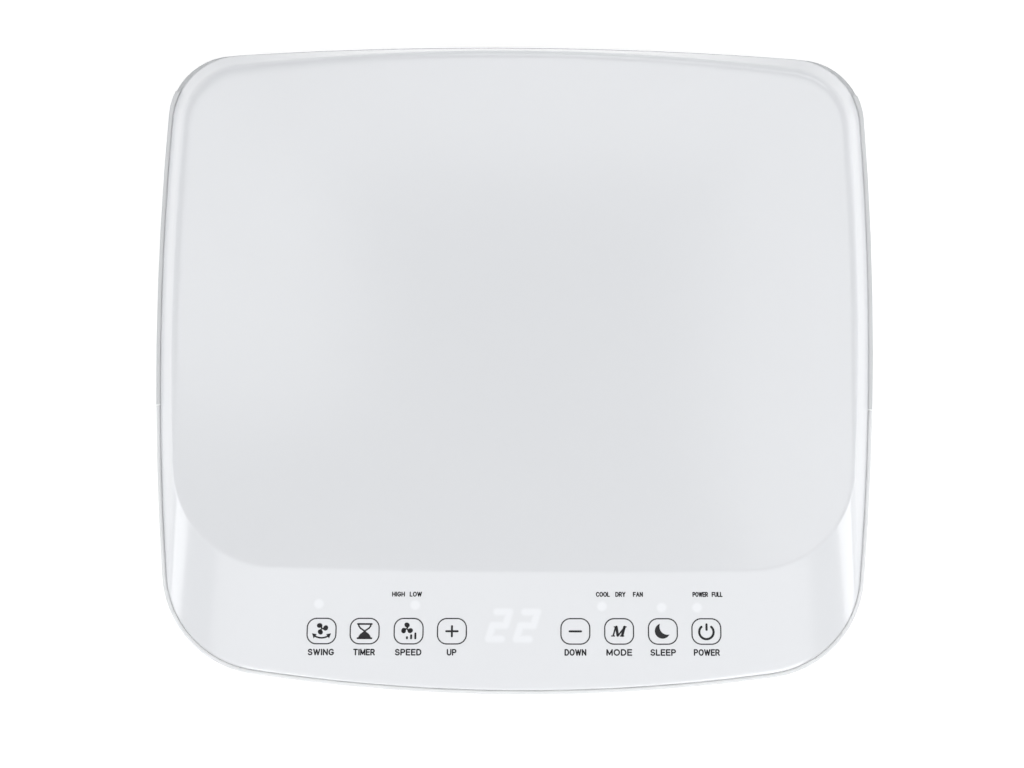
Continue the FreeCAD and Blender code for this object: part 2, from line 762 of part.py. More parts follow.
def slat(index):
    """One tilting slat: a rounded blade on two end pins, and a notch whose cross pin takes the link."""
    half_span = "(outlet_half_width - gap - duct_wall - 0.6)"
    y, z = size("slat_y"), slat_z(index)
    half = size("slat_chord") / 2 - size("slat_thick") / 2
    radius = "slat_thick / 2"
    blade = [
        box(f"-{half_span}", y - half, f"{z} - slat_thick / 2", f"2 * {half_span}", 2 * half, "slat_thick"),
        rod(f"-{half_span}", y - half, z, radius, f"2 * {half_span}", "X"),
        rod(f"-{half_span}", y + half, z, radius, f"2 * {half_span}", "X"),
        rod(f"-{half_span} - 4.5", y, z, "pivot_pin", f"2 * {half_span} + 9", "X"),
    ]
    notch = box("slat_link_x - 5", y + size("slat_crank") - 5.5, z - 5, 10, 13, 10)
    pin = rod("slat_link_x - 6", y + size("slat_crank"), z, "crank_pin", 12, "X")
    made = held(fuse(cut(fuse(*blade), notch), pin))
    return node(turned(made, Vector(0, y, z), X_AXIS, size("slat_tilt")), f"slat_{index}")


def slat_crank_point(index):
    """Where the cross pin of a slat is, in Y and Z, with the slat at its tilt."""
    tilt = math.radians(size("slat_tilt"))
    crank = size("slat_crank")
    return size("slat_y") + crank * math.cos(tilt), slat_z(index) + crank * math.sin(tilt)


def slat_link():
    """The upright bar that tilts the slats together."""
    y, first = slat_crank_point(1)
    last = slat_crank_point(SLATS[-1])[1]
    bar = box("slat_link_x - 2", y - 2.5, first - 4, 4, 5, last - first + 8)
    holes = [
        rod("slat_link_x - 6", y, slat_crank_point(index)[1], "crank_pin + running", 12, "X")
        for index in SLATS
    ]
    return node(cut(bar, *holes), "slat_link")


def vane(index):
    """One swinging vane: an upright blade on two pins, with a notch and a cross pin for the link."""
    half_height = "(outlet_half_height - gap - duct_wall - 0.6)"
    x = vane_x(index)
    low = f"outlet_z - {half_height}"
    blade = fuse(
        box(f"{x} - vane_thick / 2", "vane_y - vane_nose", low, "vane_thick", "vane_nose + vane_tail - 1",
            f"2 * {half_height}"),
        rod(x, "vane_y - vane_nose", low, "vane_thick / 2", f"2 * {half_height}"),
        rod(x, "vane_y", f"{low} - 4.5", "pivot_pin", f"2 * {half_height} + 9"),
    )
    notch = box(x - 5, "vane_y + vane_crank - 5", "vane_link_z - 4", 10, 16, 8)
    pin = rod(x, "vane_y + vane_crank", "vane_link_z - 5", "crank_pin", 10)
    return node(fuse(cut(blade, notch), pin), f"vane_{index}")


def vane_link():
    """The bar that swings the vanes together, with a last hole for the motor's crank."""
    places = [vane_x(index) for index in VANES] + [size("swing_x")]
    length = places[-1] - places[0] + 8
    bar = box(places[0] - 4, "vane_y + vane_crank - 2.5", "vane_link_z - 1.75", length, 5, 3.5)
    holes = [rod(x, "vane_y + vane_crank", "vane_link_z - 5", "crank_pin + running", 10) for x in places]
    return node(cut(bar, *holes), "vane_link")


def swing_drive():
    """The step motor under the duct, and the crank on its shaft."""
    floor = "(outlet_z - outlet_half_height + gap)"
    can = rod("swing_x", "vane_y", f"{floor} - 20", 14, 19)
    tabs = box("swing_x - 3.5", "vane_y - 20", f"{floor} - 2", 7, 40, 1)
    motor = cut(fuse(can, tabs), rod("swing_x", "vane_y", f"{floor} - 12", "2.5 + running", 20))
    node(motor, "swing_motor")
    top = f"{floor} + duct_wall"
    crank = fuse(
        rod("swing_x", "vane_y", f"{floor} - 11", 2.5, "duct_wall + 14"),
        rod("swing_x", "vane_y", f"{top} + 0.6", 4.0, 6),
        box("swing_x - 2.5", "vane_y", f"{top} + 3.6", 5, "vane_crank", 3),
        rod("swing_x", "vane_y + vane_crank", f"{top} + 3.6", 2.5, 3),
        rod("swing_x", "vane_y + vane_crank", f"{top} + 3.6", "crank_pin", f"vane_link_z - 0.6 - {top}"),
    )
    node(crank, "swing_crank")


# ---------------------------------------------------------------- blowers
def scroll_profile(x, z, radius, step, top, y):
    """A spiral of three quarter arcs, whose radius grows by a step each, with a straight outlet up to a
    height. The arcs' centres are corners of a small square."""
    half = step / 2
    profile, arcs = sketch("XZ", y), []
    for index, (side, level) in enumerate([(-half, -half), (half, -half), (half, half)]):
        circle = Part.Circle(Vector(x + side, z + level, 0), Z_AXIS, radius + index * step)
        start = math.radians(90 + 90 * index)
        arcs.append(Part.ArcOfCircle(circle, start, start + math.pi / 2))
    tongue, last = arcs[0].StartPoint, arcs[-1].EndPoint
    profile.addGeometry(arcs)
    corners = [last, Vector(last.x, top, 0), Vector(tongue.x, top, 0), tongue]
    for one, other in zip(corners, corners[1:]):
        profile.addGeometry(Part.LineSegment(one, other))
    return profile


def scroll(x, z, radius, top, floor):
    """The hollow casing of a blower on two legs, open at the top, with an air inlet behind and a motor
    hole in front."""
    front, depth, wall, step = size("scroll_front"), size("scroll_depth"), 2.0, 6.0
    rear = front + depth
    outer = extrusion(scroll_profile(x, z, radius + 8, step, top, rear), depth, -Y_AXIS)
    inner = extrusion(
        scroll_profile(x, z, radius + 8 - wall, step, top + 5, rear - wall), depth - 2 * wall, -Y_AXIS
    )
    legs = [box(x + side, front, floor, 4, depth, z - 30 - floor) for side in (-28, 20)]
    inlet = rod(x, rear - 10, z, radius - 12, 20, "Y")
    motor_hole = rod(x, front - 5, z, 14, 20, "Y")
    return [outer] + legs, inner, inlet, motor_hole


def blower_wheel(x, z, radius, name):
    """A squirrel-cage wheel: a back plate with a hub, a ring of upright blades and a front ring."""
    body = doc.addObject("PartDesign::Body", name)
    depth = size("scroll_depth") - 16
    front = size("scroll_front") + 8
    plane = [f for f in body.Origin.OriginFeatures if f.Role == "XZ_Plane"][0]

    def flat(label, y):
        made = body.newObject("Sketcher::SketchObject", label)
        made.AttachmentSupport = [(plane, "")]
        made.MapMode = "FlatFace"
        made.AttachmentOffset = Placement(Vector(0, 0, -y), Rotation())
        return made

    def ring(label, outer, inner, y, length):
        made = flat(label, y)
        made.addGeometry(Part.Circle(Vector(0, 0, 0), Z_AXIS, outer))
        made.addGeometry(Part.Circle(Vector(0, 0, 0), Z_AXIS, inner))
        pad = body.newObject("PartDesign::Pad", label + "Pad")
        pad.Profile = made
        pad.Reversed = True
        bind(pad, Length=length)
        return pad

    shaft = size("shaft_radius")
    ring("Plate", radius, shaft, 0, 2.0)
    ring("Hub", 12, shaft, 0, 20.0)
    profile = flat("Blade", 0)
    inner, thick = radius - 11, 1.2
    points = [
        Vector(inner, -thick / 2, 0), Vector(radius, 4 - thick / 2, 0),
        Vector(radius - 0.6, 4 + thick / 2, 0), Vector(inner, thick / 2, 0),
    ]
    for one, other in zip(points, points[1:] + points[:1]):
        profile.addGeometry(Part.LineSegment(one, other))
    blade = body.newObject("PartDesign::Pad", "BladePad")
    blade.Profile = profile
    blade.Reversed = True
    blade.Length = depth
    doc.recompute()
    pattern = body.newObject("PartDesign::PolarPattern", "Blades")
    pattern.Originals = [blade]
    pattern.Axis = (profile, ["N_Axis"])
    pattern.Angle = 360
    bind(pattern, Occurrences="blade_count")
    body.Tip = pattern
    ring("Front", radius, radius - 11, depth - 2.5, 2.5)
    body.Placement = Placement(Vector(x, front, z), Rotation())
    return node(body, name)


def cold_blower():
    """The room-air blower: casing, wheel, motor and shaft."""
    x, z = 0.0, size("cold_axis_z")
    top = size("outlet_z") - size("outlet_half_height") + 0.4
    floor = size("tray_z") + 3
    outside, inner, inlet, motor_hole = scroll(x, z, size("cold_wheel_radius"), top, floor)
    node(cut(fuse(*outside), inner, inlet, motor_hole), "evaporator_scroll")
    blower_wheel(x, z, size("cold_wheel_radius"), "evaporator_wheel")
    blower_motor(x, "cold_axis_z", 40, "evaporator")


def blower_motor(x, z, radius, name):
    """A fan motor in front of a casing, and the shaft that carries the wheel."""
    can = fuse(
        rod(x, "scroll_front - 46", z, radius, 40, "Y"),
        rod(x, "scroll_front - 6", z, radius - 12, 6, "Y"),
        rod(x, "scroll_front - 26", z, radius + 4, 3, "Y"),
    )
    node(cut(can, rod(x, "scroll_front - 36", z, "shaft_radius + running", 50, "Y")), f"{name}_motor")
    node(rod(x, "scroll_front - 34", z, "shaft_radius", 66, "Y"), f"{name}_shaft")


def hot_blower():
    """The blower that drives the condenser's air out: its casing ends in a box behind the collar."""
    x, z = size("hot_axis_x"), size("hot_axis_z")
    floor = size("case_bottom") + size("pan_floor")
    outside, inner, inlet, motor_hole = scroll(x, z, size("hot_wheel_radius"), 238, floor)
    chest = box(-74, "scroll_front", 232, 174, "exhaust_inner_y - 3.4 - scroll_front", 140)
    chest_hollow = box(-72, "scroll_front + 2", 234, 170, "exhaust_inner_y - 7.4 - scroll_front", 136)
    port = rod(0, 100, "exhaust_z", "exhaust_radius", 20, "Y")
    hollows = [inner, chest_hollow, port, inlet, motor_hole]
    node(cut(fuse(*outside, chest), *hollows), "condenser_scroll")
    blower_wheel(x, z, size("hot_wheel_radius"), "condenser_wheel")
    blower_motor(x, "hot_axis_z", 36, "condenser")


# ---------------------------------------------------------------- refrigeration circuit
def coil(low, high, name):
    """A fin block with the return bends of its tubes at both ends."""
    solids = [box("-coil_half_width", "coil_y", low, "2 * coil_half_width", "coil_depth", high - low)]
    rows = int((high - low - 20) // 40)
    middle = size("coil_y") + size("coil_depth") / 2
    for row in range(rows):
        z = low + 20 + (row + 0.5) * (high - low - 40) / rows
        for side in (-1, 1):
            bend = doc.addObject("Part::Torus", "Bend")
            bend.Radius1, bend.Radius2, bend.Angle3 = 8.0, 3.0, 180
            bend.Placement = Placement(
                Vector(side * (size("coil_half_width") - 0.5), middle, z),
                Rotation(X_AXIS, 90).multiply(Rotation(Z_AXIS, -90 * side)),
            )
            solids.append(bend)
    return node(fuse(*solids), name)


def compressor():
    """The hermetic can with its domed ends and foot plate, and the motor and pump block inside."""
    x, y, r = size("compressor_x"), size("compressor_y"), size("compressor_radius")
    low, high, wall = size("compressor_low"), size("compressor_high"), 3.5

    def can(radius, bottom, top):
        crown = 14.0
        points = [
            Vector(0, 0, bottom), Vector(radius - crown, 0, bottom), Vector(radius, 0, bottom + crown),
            Vector(radius, 0, top - crown), Vector(radius - crown, 0, top), Vector(0, 0, top),
        ]
        corner = math.sqrt(0.5) * crown
        edges = [
            Part.LineSegment(points[0], points[1]),
            Part.Arc(points[1], Vector(radius - crown + corner, 0, bottom + crown - corner), points[2]),
            Part.LineSegment(points[2], points[3]),
            Part.Arc(points[3], Vector(radius - crown + corner, 0, top - crown + corner), points[4]),
            Part.LineSegment(points[4], points[5]),
            Part.LineSegment(points[5], points[0]),
        ]
        profile = sketch("XZ")
        profile.addGeometry([flattened(edge) for edge in edges])
        made = doc.addObject("Part::Revolution", "Can")
        made.Source = profile
        made.Axis, made.Base, made.Angle, made.Solid = Z_AXIS, Vector(), 360, True
        made.Placement = Placement(Vector(x, y, 0), Rotation())
        return made

    plate = [rod(x, y, low - 5, 50, 4)]
    for foot_x, foot_y in FOOT_SPOTS:
        plate.append(rod(foot_x, foot_y, low - 5, 9, 4))
    joined = fuse(rod(x, y, low - 3, 40, 10), *plate)
    holes = [rod(foot_x, foot_y, low - 8, 4.5, 12) for foot_x, foot_y in FOOT_SPOTS]
    outside = fuse(can(r, low, high), joined, rod(x, y, high - 1, 14, 10))
    shell = cut(outside, can(r - wall, low + wall, high - wall))
    pump, neck = rod(x, y, low + 22, r - 9, 62), rod(x, y, low + 84, 12, 16)
    core = fuse(pump, neck, rod(x, y, low + 100, r - 8, 60))
    return node(group(cut(shell, *holes), core), "compressor")


def flattened(edge):
    """A curve given in X and Z, redrawn in the X and Y of a sketch."""
    flat = lambda p: Vector(p.x, p.z, 0)
    if isinstance(edge, Part.LineSegment):
        return Part.LineSegment(flat(edge.StartPoint), flat(edge.EndPoint))
    middle = edge.value((edge.FirstParameter + edge.LastParameter) / 2)
    return Part.Arc(flat(edge.StartPoint), flat(middle), flat(edge.EndPoint))


def compressor_grommets():
    """Rubber mounts between the compressor's feet and the posts of the pan."""
    rings = []
    for x, y in FOOT_SPOTS:
        body = fuse(rod(x, y, 56, 10.5, 11), rod(x, y, 56, 4.4, 17), rod(x, y, 71.2, 8.5, 3))
        rings.append(cut(body, rod(x, y, 50, 2.2, 30)))
    return node(group(*rings), "compressor_grommets")


ACCUMULATOR = (14.0, -82.0)
PIPE_HOLES = [(-30.0, -100.0), (123.0, 30.0)]
PIPE_RADIUS = 3.5


def accumulator():
    """The suction accumulator beside the compressor: a drum with a neck at each end."""
    x, y = ACCUMULATOR
    solids = [
        rod(x, y, 122, 23, 98),
        cone(x, y, 220, 23, 8, 14),
        cone(x, y, 108, 8, 23, 14),
        rod(x, y, 234, 5, 12),
    ]
    return node(fuse(*solids), "accumulator")


def pipe(points, radius=PIPE_RADIUS):
    """A tube along straight runs joined by tangent arcs."""
    bend = 12.0
    edges, here = [], points[0]
    for before, corner, after in zip(points, points[1:], points[2:]):
        back, ahead = (before - corner).normalize(), (after - corner).normalize()
        half = back.getAngle(ahead) / 2
        reach = bend / math.tan(half)
        start, end = corner + back * reach, corner + ahead * reach
        inward = (back + ahead).normalize()
        middle = corner + inward * (bend / math.sin(half) - bend)
        edges += [Part.LineSegment(here, start).toShape(), Part.Arc(start, middle, end).toShape()]
        here = end
    edges.append(Part.LineSegment(here, points[-1]).toShape())
    path = Part.Wire(edges)
    circle = Part.Circle(points[0], points[1] - points[0], radius)
    made = doc.addObject("Part::Feature", "Pipe")
    made.Shape = path.makePipeShell([Part.Wire(circle.toShape())], True, False)
    return made


def refrigerant_pipes():
    """The four pipes of the circuit, and the filter drier between the condenser and the thin pipe."""
    x, y = size("compressor_x"), size("compressor_y")
    high = size("compressor_high") + 9
    face, middle = size("coil_half_width"), size("coil_y") + size("coil_depth") / 2
    side = face + 17
    ax, ay = ACCUMULATOR
    (suction_x, suction_y), (liquid_x, liquid_y) = PIPE_HOLES
    floor = size("tray_z") + 13
    entry = EVAPORATOR_LOW + 61
    suction = pipe([
        Vector(ax, ay, 246), Vector(ax, ay, 350), Vector(suction_x, suction_y, 350),
        Vector(suction_x, suction_y, floor), Vector(side, suction_y, floor), Vector(side, middle, floor),
        Vector(side, middle, entry), Vector(face, middle, entry),
    ])
    towards = Vector(ax - x, ay - y, 0).normalize()
    can = Vector(x, y, 94) + towards * (size("compressor_radius") + 0.12)
    link = pipe([Vector(ax, ay, 108), Vector(ax, ay, 94), can])
    discharge = pipe([
        Vector(x, y, high), Vector(x, y, 330), Vector(-side, y, 330), Vector(-side, middle, 330),
        Vector(-side, middle, 205), Vector(-face, middle, 205),
    ])
    liquid = pipe([
        Vector(face, middle, 82), Vector(liquid_x, middle, 82), Vector(liquid_x, middle, 235),
        Vector(liquid_x, liquid_y, 235), Vector(liquid_x, liquid_y, 300),
    ])
    drier = fuse(
        rod(liquid_x, liquid_y, 300, 8.5, 45), cone(liquid_x, liquid_y, 345, 8.5, 3, 8),
    )
    thin = pipe([
        Vector(liquid_x, liquid_y, 353), Vector(liquid_x, liquid_y, floor + 8),
        Vector(liquid_x, middle - 8, floor + 8), Vector(liquid_x, middle - 8, entry),
        Vector(face, middle - 8, entry),
    ], 1.6)
    return node(group(suction, link, discharge, liquid, drier, thin), "refrigerant_pipes")


# ---------------------------------------------------------------- water handling
SPLASH_X, SPLASH_Z = -44.0, 58.0


def splash_wheel():
    """The paddle wheel that throws sump water at the condenser, with its shaft."""
    hub = rod(SPLASH_X, 52, SPLASH_Z, 8, 22, "Y")
    disc = rod(SPLASH_X, 70, SPLASH_Z, 26, 2, "Y")
    paddles = []
    for index in range(8):
        paddle = held(box(SPLASH_X - 0.75, 62, SPLASH_Z + 12, 1.5, 8.5, 15))
        paddles.append(turned(paddle, Vector(SPLASH_X, 0, SPLASH_Z), Y_AXIS, 45 * index))
    shaft = rod(SPLASH_X, 38, SPLASH_Z, 2.5, 15, "Y")
    return node(fuse(hub, disc, shaft, *paddles), "splash_wheel")


def splash_motor():
    """The small motor of the paddle wheel, on a bracket that stands in the pan."""
    can = rod(SPLASH_X, 12, SPLASH_Z, 18, 34, "Y")
    floor = "case_bottom + pan_floor"
    bracket = box(SPLASH_X - 14, 14, floor, 28, 3, SPLASH_Z - 30)
    foot = box(SPLASH_X - 14, 2, floor, 28, 15, 3)
    bearing = rod(SPLASH_X, 34, SPLASH_Z, "2.5 + running", 20, "Y")
    return node(cut(fuse(can, bracket, foot), bearing), "splash_motor")


FLOAT_X, FLOAT_Y = 20.0, -108.0


def float_switch():
    """The level switch of the sump: a stem with a foot and a stop, and the ring that floats on it."""
    stem = fuse(
        rod(FLOAT_X, FLOAT_Y, "case_bottom + pan_floor", 8, 3),
        rod(FLOAT_X, FLOAT_Y, "case_bottom + pan_floor", 3, 34),
        rod(FLOAT_X, FLOAT_Y, "case_bottom + 36", 5, 3),
    )
    node(stem, "float_switch")
    ring = cut(rod(FLOAT_X, FLOAT_Y, "case_bottom + 6.2", 10, 14), rod(FLOAT_X, FLOAT_Y, 0, 3.3, 80))
    node(ring, "float_ring")


# ---------------------------------------------------------------- electronics
def panel_frame():
    """The place and tilt of the control slope: its outer face at the middle of the keys."""
    run = size("front_reach") - size("lap") - size("plateau_front")
    slope = math.atan2(size("rim_drop"), run)
    z = size("case_height") - (-size("panel_y") - size("plateau_front")) * math.tan(slope)
    return Placement(Vector(0, size("panel_y"), z), Rotation(X_AXIS, math.degrees(slope)))


def on_panel(thing):
    """Carries an object from flat ground to the control slope."""
    made = held(thing)
    made.Placement = panel_frame()
    return made


KEY_X = [
    side * (size("key_inner_x") + index * size("key_pitch"))
    for side in (-1, 1)
    for index in range(int(size("key_count")))
]
BOARD_TOP = -11.0
SPRING_TOP = -5.2
LIGHT_X = [-87.5, -44.7, 39.0, 65.8, 81.8]


def display_unit():
    """The board behind the slope, with a spring under each key, the digits and the signal lights."""
    board = box(-100, -18, BOARD_TOP - 1.6, 200, 36, 1.6)
    bosses = [rod(x, y, BOARD_TOP - 6, 1.6, 10) for x in (-94, 94) for y in (-13, 13)]
    node(on_panel(cut(board, *bosses)), "display_board")
    springs = []
    for x in KEY_X:
        coil_body = fuse(
            cone(x, -1, BOARD_TOP, 3.0, 5.0, SPRING_TOP - BOARD_TOP - 0.6),
            rod(x, -1, SPRING_TOP - 0.6, 5.4, 0.6),
        )
        hollow = rod(x, -1, BOARD_TOP - 1, 2.2, SPRING_TOP - BOARD_TOP + 0.4)
        springs.append(on_panel(cut(coil_body, hollow)))
    node(group(*springs), "touch_springs")
    digits = box(-12.6, -7, BOARD_TOP, 25.2, 18, SPRING_TOP - BOARD_TOP)
    lights = [fuse(box(x - 2, 9, BOARD_TOP, 4, 4, 3), rod(x, 11, BOARD_TOP + 3, 1.6, 4)) for x in LIGHT_X]
    node(group(*[on_panel(thing) for thing in [digits] + lights]), "display_leds")


def control_box():
    """The fire-proof box beside the blower, open towards the service side, and the board in it."""
    x, y, z = -147.0, -62.0, size("tray_z") + 3
    length, width, height, wall = 44.0, 116.0, 128.0, 1.5
    shell = cut(
        box(x, y, z, length, width, height),
        box(x - 5, y + wall, z + wall, length + 5 - wall, width - 2 * wall, height - 2 * wall),
    )
    node(shell, "control_box")
    board = box(x + 34, y + 8, z + 8, 1.6, width - 16, height - 16)
    parts = [
        rod(x + 14, y + 30, z + 40, 11, 20, "X"),
        box(x + 16, y + 52, z + 20, 18, 30, 24),
        box(x + 20, y + 20, z + 80, 14, 22, 30),
        box(x + 22, y + 60, z + 70, 12, 34, 16),
    ]
    node(fuse(board, *parts), "control_board")


# ---------------------------------------------------------------- castors
def castor(name, side, end):
    """A twin-wheel swivel castor: hood with stem, and two wheels on one axle, trailing to the rear."""
    x, y = side * size(f"castor_{end}_x"), size(f"castor_{end}_y")
    axle_y = y + size("castor_trail")
    wheel, width = "wheel_radius", size("wheel_width")
    half, axle_radius = 4.0, 2.4
    arch = cut(
        rod(x - half - width - 2, axle_y, wheel, "wheel_radius + 3.5", 2 * (half + width + 2), "X"),
        rod(x - half - width - 3, axle_y, wheel, "wheel_radius + 1.5", 2 * (half + width + 3), "X"),
        box(x - 40, axle_y - 40, "-5", 80, 80, "wheel_radius + 13"),
    )
    web = cut(
        rod(x - half + 0.6, axle_y, wheel, "wheel_radius - 2", 2 * half - 1.2, "X"),
        box(x - 10, axle_y - 40, "-5", 20, 80, 15),
    )
    neck = box(x - half + 0.6, axle_y - 14, "wheel_radius", 2 * half - 1.2, 26, "wheel_radius + 2.5")
    boss = cut(
        rod(x, y, "2 * wheel_radius", 9, 10),
        rod(x - half - width - 3, axle_y, wheel, "wheel_radius + 1.5", 2 * (half + width + 3), "X"),
    )
    collar = rod(x, y, 46, 6.5, "pocket_top - 46.1")
    stem = rod(x, y, 40, "stem_radius", 21)
    axle_bore = rod(x - 20, axle_y, wheel, f"{axle_radius} + running", 40, "X")
    node(cut(fuse(arch, web, neck, boss, collar, stem), axle_bore), f"castor_{name}")
    tyres = []
    for sign in (-1, 1):
        left = x + half if sign > 0 else x - half - width
        disc = rod(left, axle_y, wheel, wheel, width, "X")
        face = x + half + width - 2 if sign > 0 else x - half - width
        dish = rod(face, axle_y, wheel, "wheel_radius - 5", 2, "X")
        tyres.append(cut(disc, cut(dish, rod(face, axle_y, wheel, 5, 2, "X"))))
    axle = rod(x - half - width + 3, axle_y, wheel, axle_radius, 2 * (half + width) - 6, "X")
    node(fuse(*tyres, axle), f"castor_{name}_wheels")


# ---------------------------------------------------------------- build, check and write
front_shell()
rear_shell()
top_cover()
base_pan()
divider_tray()
handles()
housing_screws()
cord_gland()
grille("upper_grille_low", "upper_grille_high", "upper_grille")
grille("lower_grille_low", "lower_grille_high", "lower_grille")
upper_filter()
exhaust_collar()
drain_cap()
drain_plug()
outlet_frame()
for number in SLATS:
    slat(number)
slat_link()
for number in VANES:
    vane(number)
vane_link()
swing_drive()
cold_blower()
hot_blower()
coil(EVAPORATOR_LOW, EVAPORATOR_HIGH, "evaporator_coil")
coil(CONDENSER_LOW, CONDENSER_HIGH, "condenser_coil")
compressor()
compressor_grommets()
accumulator()
refrigerant_pipes()
splash_wheel()
splash_motor()
float_switch()
display_unit()
control_box()
for name, (side, end) in CASTORS.items():
    castor(name, side, end)

doc.recompute()
failed = [thing.Label for thing in doc.Objects if {"Invalid", "Error"} & set(thing.State)]
if failed:
    raise SystemExit(f"these objects failed: {failed}")
for thing in NODES:
    if thing.Shape.isNull() or not thing.Shape.isValid() or not thing.Shape.Solids:
        raise SystemExit(f"{thing.Label} has no valid solid")

os.makedirs("parts", exist_ok=True)
for thing in NODES:
    thing.Shape.exportStep(os.path.join("parts", f"{thing.Label}.step"))
print(f"{len(NODES)} sub-parts written")
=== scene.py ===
import json
import math

import bmesh
import bpy
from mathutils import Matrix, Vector
from mathutils.bvhtree import BVHTree


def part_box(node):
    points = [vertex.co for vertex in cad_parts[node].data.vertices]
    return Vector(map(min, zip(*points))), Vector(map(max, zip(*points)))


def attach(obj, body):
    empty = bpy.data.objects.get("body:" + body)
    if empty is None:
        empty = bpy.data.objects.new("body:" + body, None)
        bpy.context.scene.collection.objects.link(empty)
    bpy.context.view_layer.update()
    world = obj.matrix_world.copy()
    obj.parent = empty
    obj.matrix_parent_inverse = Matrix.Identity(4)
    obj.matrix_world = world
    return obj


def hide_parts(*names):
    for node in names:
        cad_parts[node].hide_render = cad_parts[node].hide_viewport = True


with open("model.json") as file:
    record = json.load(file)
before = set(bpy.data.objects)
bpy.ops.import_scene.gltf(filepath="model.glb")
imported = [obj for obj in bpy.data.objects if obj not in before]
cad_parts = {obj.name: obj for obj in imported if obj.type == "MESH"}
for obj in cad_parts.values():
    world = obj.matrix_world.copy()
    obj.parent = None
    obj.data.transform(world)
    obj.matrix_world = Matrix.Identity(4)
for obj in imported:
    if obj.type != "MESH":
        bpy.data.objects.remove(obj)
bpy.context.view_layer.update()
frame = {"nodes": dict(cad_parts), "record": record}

MM = 0.001
NODES = frame["nodes"]

# The rim of the case and its flat top in millimetres: where the cover's own curves come from.
TOP_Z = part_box("top_cover")[1][2] / MM
SKIRT_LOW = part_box("top_cover")[0][2] / MM
RIM_Z = TOP_Z - 12.0
DOME = 0.8
# the crease round the flat top is crisp at the front and softens towards the sides over a stretch of Y
FRONT_CREASE = 1.3
SIDE_CREASE = 3.0
SOFTENS_FROM_Y = -60.0
SOFTENS_OVER = 60.0
LOW_ROUND = 0.1
LOW_STEPS = 4
CREASE_STEPS = 8
# a narrow ledge under the rim closes most of the gap to the shells
LEDGE_LOW, LEDGE_HIGH = 1.9, 0.12
LEDGE_BEVEL_LOW, LEDGE_BEVEL_HIGH = 2.0, 0.1


# ---------------------------------------------------------------- materials
class Shader:
    """A node tree being built, with short calls for the nodes that the materials share."""

    def __init__(self, name, roughness=0.4, colour=(0.8, 0.8, 0.8), metallic=0.0, specular=0.5, coat=0.0):
        self.material = bpy.data.materials.new(name)
        self.material.use_nodes = True
        self.tree = self.material.node_tree
        self.bsdf = self.tree.nodes["Principled BSDF"]
        self.set("Base Color", (*colour, 1.0))
        self.set("Roughness", roughness)
        self.set("Metallic", metallic)
        self.set("Specular IOR Level", specular)
        self.set("Coat Weight", coat)
        self.set("Coat Roughness", 0.08)
        self.place = self.add("ShaderNodeTexCoord").outputs["Object"]

    def add(self, kind, **settings):
        made = self.tree.nodes.new(kind)
        for key, value in settings.items():
            setattr(made, key, value)
        return made

    def set(self, socket, value):
        self.bsdf.inputs[socket].default_value = value

    def feed(self, node, socket, source):
        target = node.inputs[socket]
        if hasattr(source, "is_output"):
            self.tree.links.new(source, target)
        else:
            target.default_value = source

    def math(self, operation, *values, clamp=False):
        made = self.add("ShaderNodeMath", operation=operation, use_clamp=clamp)
        for index, value in enumerate(values):
            self.feed(made, index, value)
        return made.outputs[0]

    def vector(self, operation, *values):
        made = self.add("ShaderNodeVectorMath", operation=operation)
        for index, value in enumerate(values):
            self.feed(made, "Scale" if operation == "SCALE" and index else index, value)
        return made.outputs["Value" if operation in ("LENGTH", "DOT_PRODUCT") else "Vector"]

    def noise(self, scale, detail=3.0, place=None):
        made = self.add("ShaderNodeTexNoise")
        self.feed(made, "Vector", place or self.place)
        self.feed(made, "Scale", scale)
        self.feed(made, "Detail", detail)
        return made.outputs["Fac"]

    def span(self, value, low, high, out_low=0.0, out_high=1.0, smooth=False):
        made = self.add("ShaderNodeMapRange")
        if smooth:
            made.interpolation_type = "SMOOTHSTEP"
        for index, part in enumerate((value, low, high, out_low, out_high)):
            self.feed(made, index, part)
        return made.outputs[0]

    def blend(self, factor, one, other):
        made = self.add("ShaderNodeMix", data_type="RGBA")
        self.feed(made, "Factor", factor)
        colours = [socket for socket in made.inputs if socket.type == "RGBA"]
        for socket, value in zip(colours, (one, other)):
            if hasattr(value, "is_output"):
                self.tree.links.new(value, socket)
            else:
                socket.default_value = (*value, 1.0)
        return [socket for socket in made.outputs if socket.type == "RGBA"][0]

    def relief(self, height, distance, strength=1.0, edge=0.0):
        """Bump from a height, over edges that are softened by a small radius."""
        bump = self.add("ShaderNodeBump")
        self.feed(bump, "Height", height)
        self.feed(bump, "Distance", distance)
        self.feed(bump, "Strength", strength)
        if edge:
            soft = self.add("ShaderNodeBevel", samples=4)
            self.feed(soft, "Radius", edge)
            self.tree.links.new(soft.outputs[0], bump.inputs["Normal"])
        self.tree.links.new(bump.outputs[0], self.bsdf.inputs["Normal"])

    def link(self, socket, source):
        self.tree.links.new(source, self.bsdf.inputs[socket])


def moulded(name, colour, roughness, grain, depth, edge=0.0006, coat=0.0, spread=0.015, specular=0.5):
    """Moulded plastic: faint cloudiness in the colour, a fine grain in the surface and soft edges."""
    shader = Shader(name, roughness, colour, coat=coat, specular=specular)
    cloud = shader.noise(9.0, 4.0)
    light = tuple(min(1.0, part * (1 + spread)) for part in colour)
    dark = tuple(part * (1 - spread) for part in colour)
    shader.link("Base Color", shader.blend(cloud, dark, light))
    fine = shader.noise(grain, 2.0)
    shader.link("Roughness", shader.span(shader.noise(60.0), 0.3, 0.7, roughness * 0.9, roughness * 1.1))
    shader.relief(fine, depth, edge=edge)
    return shader.material


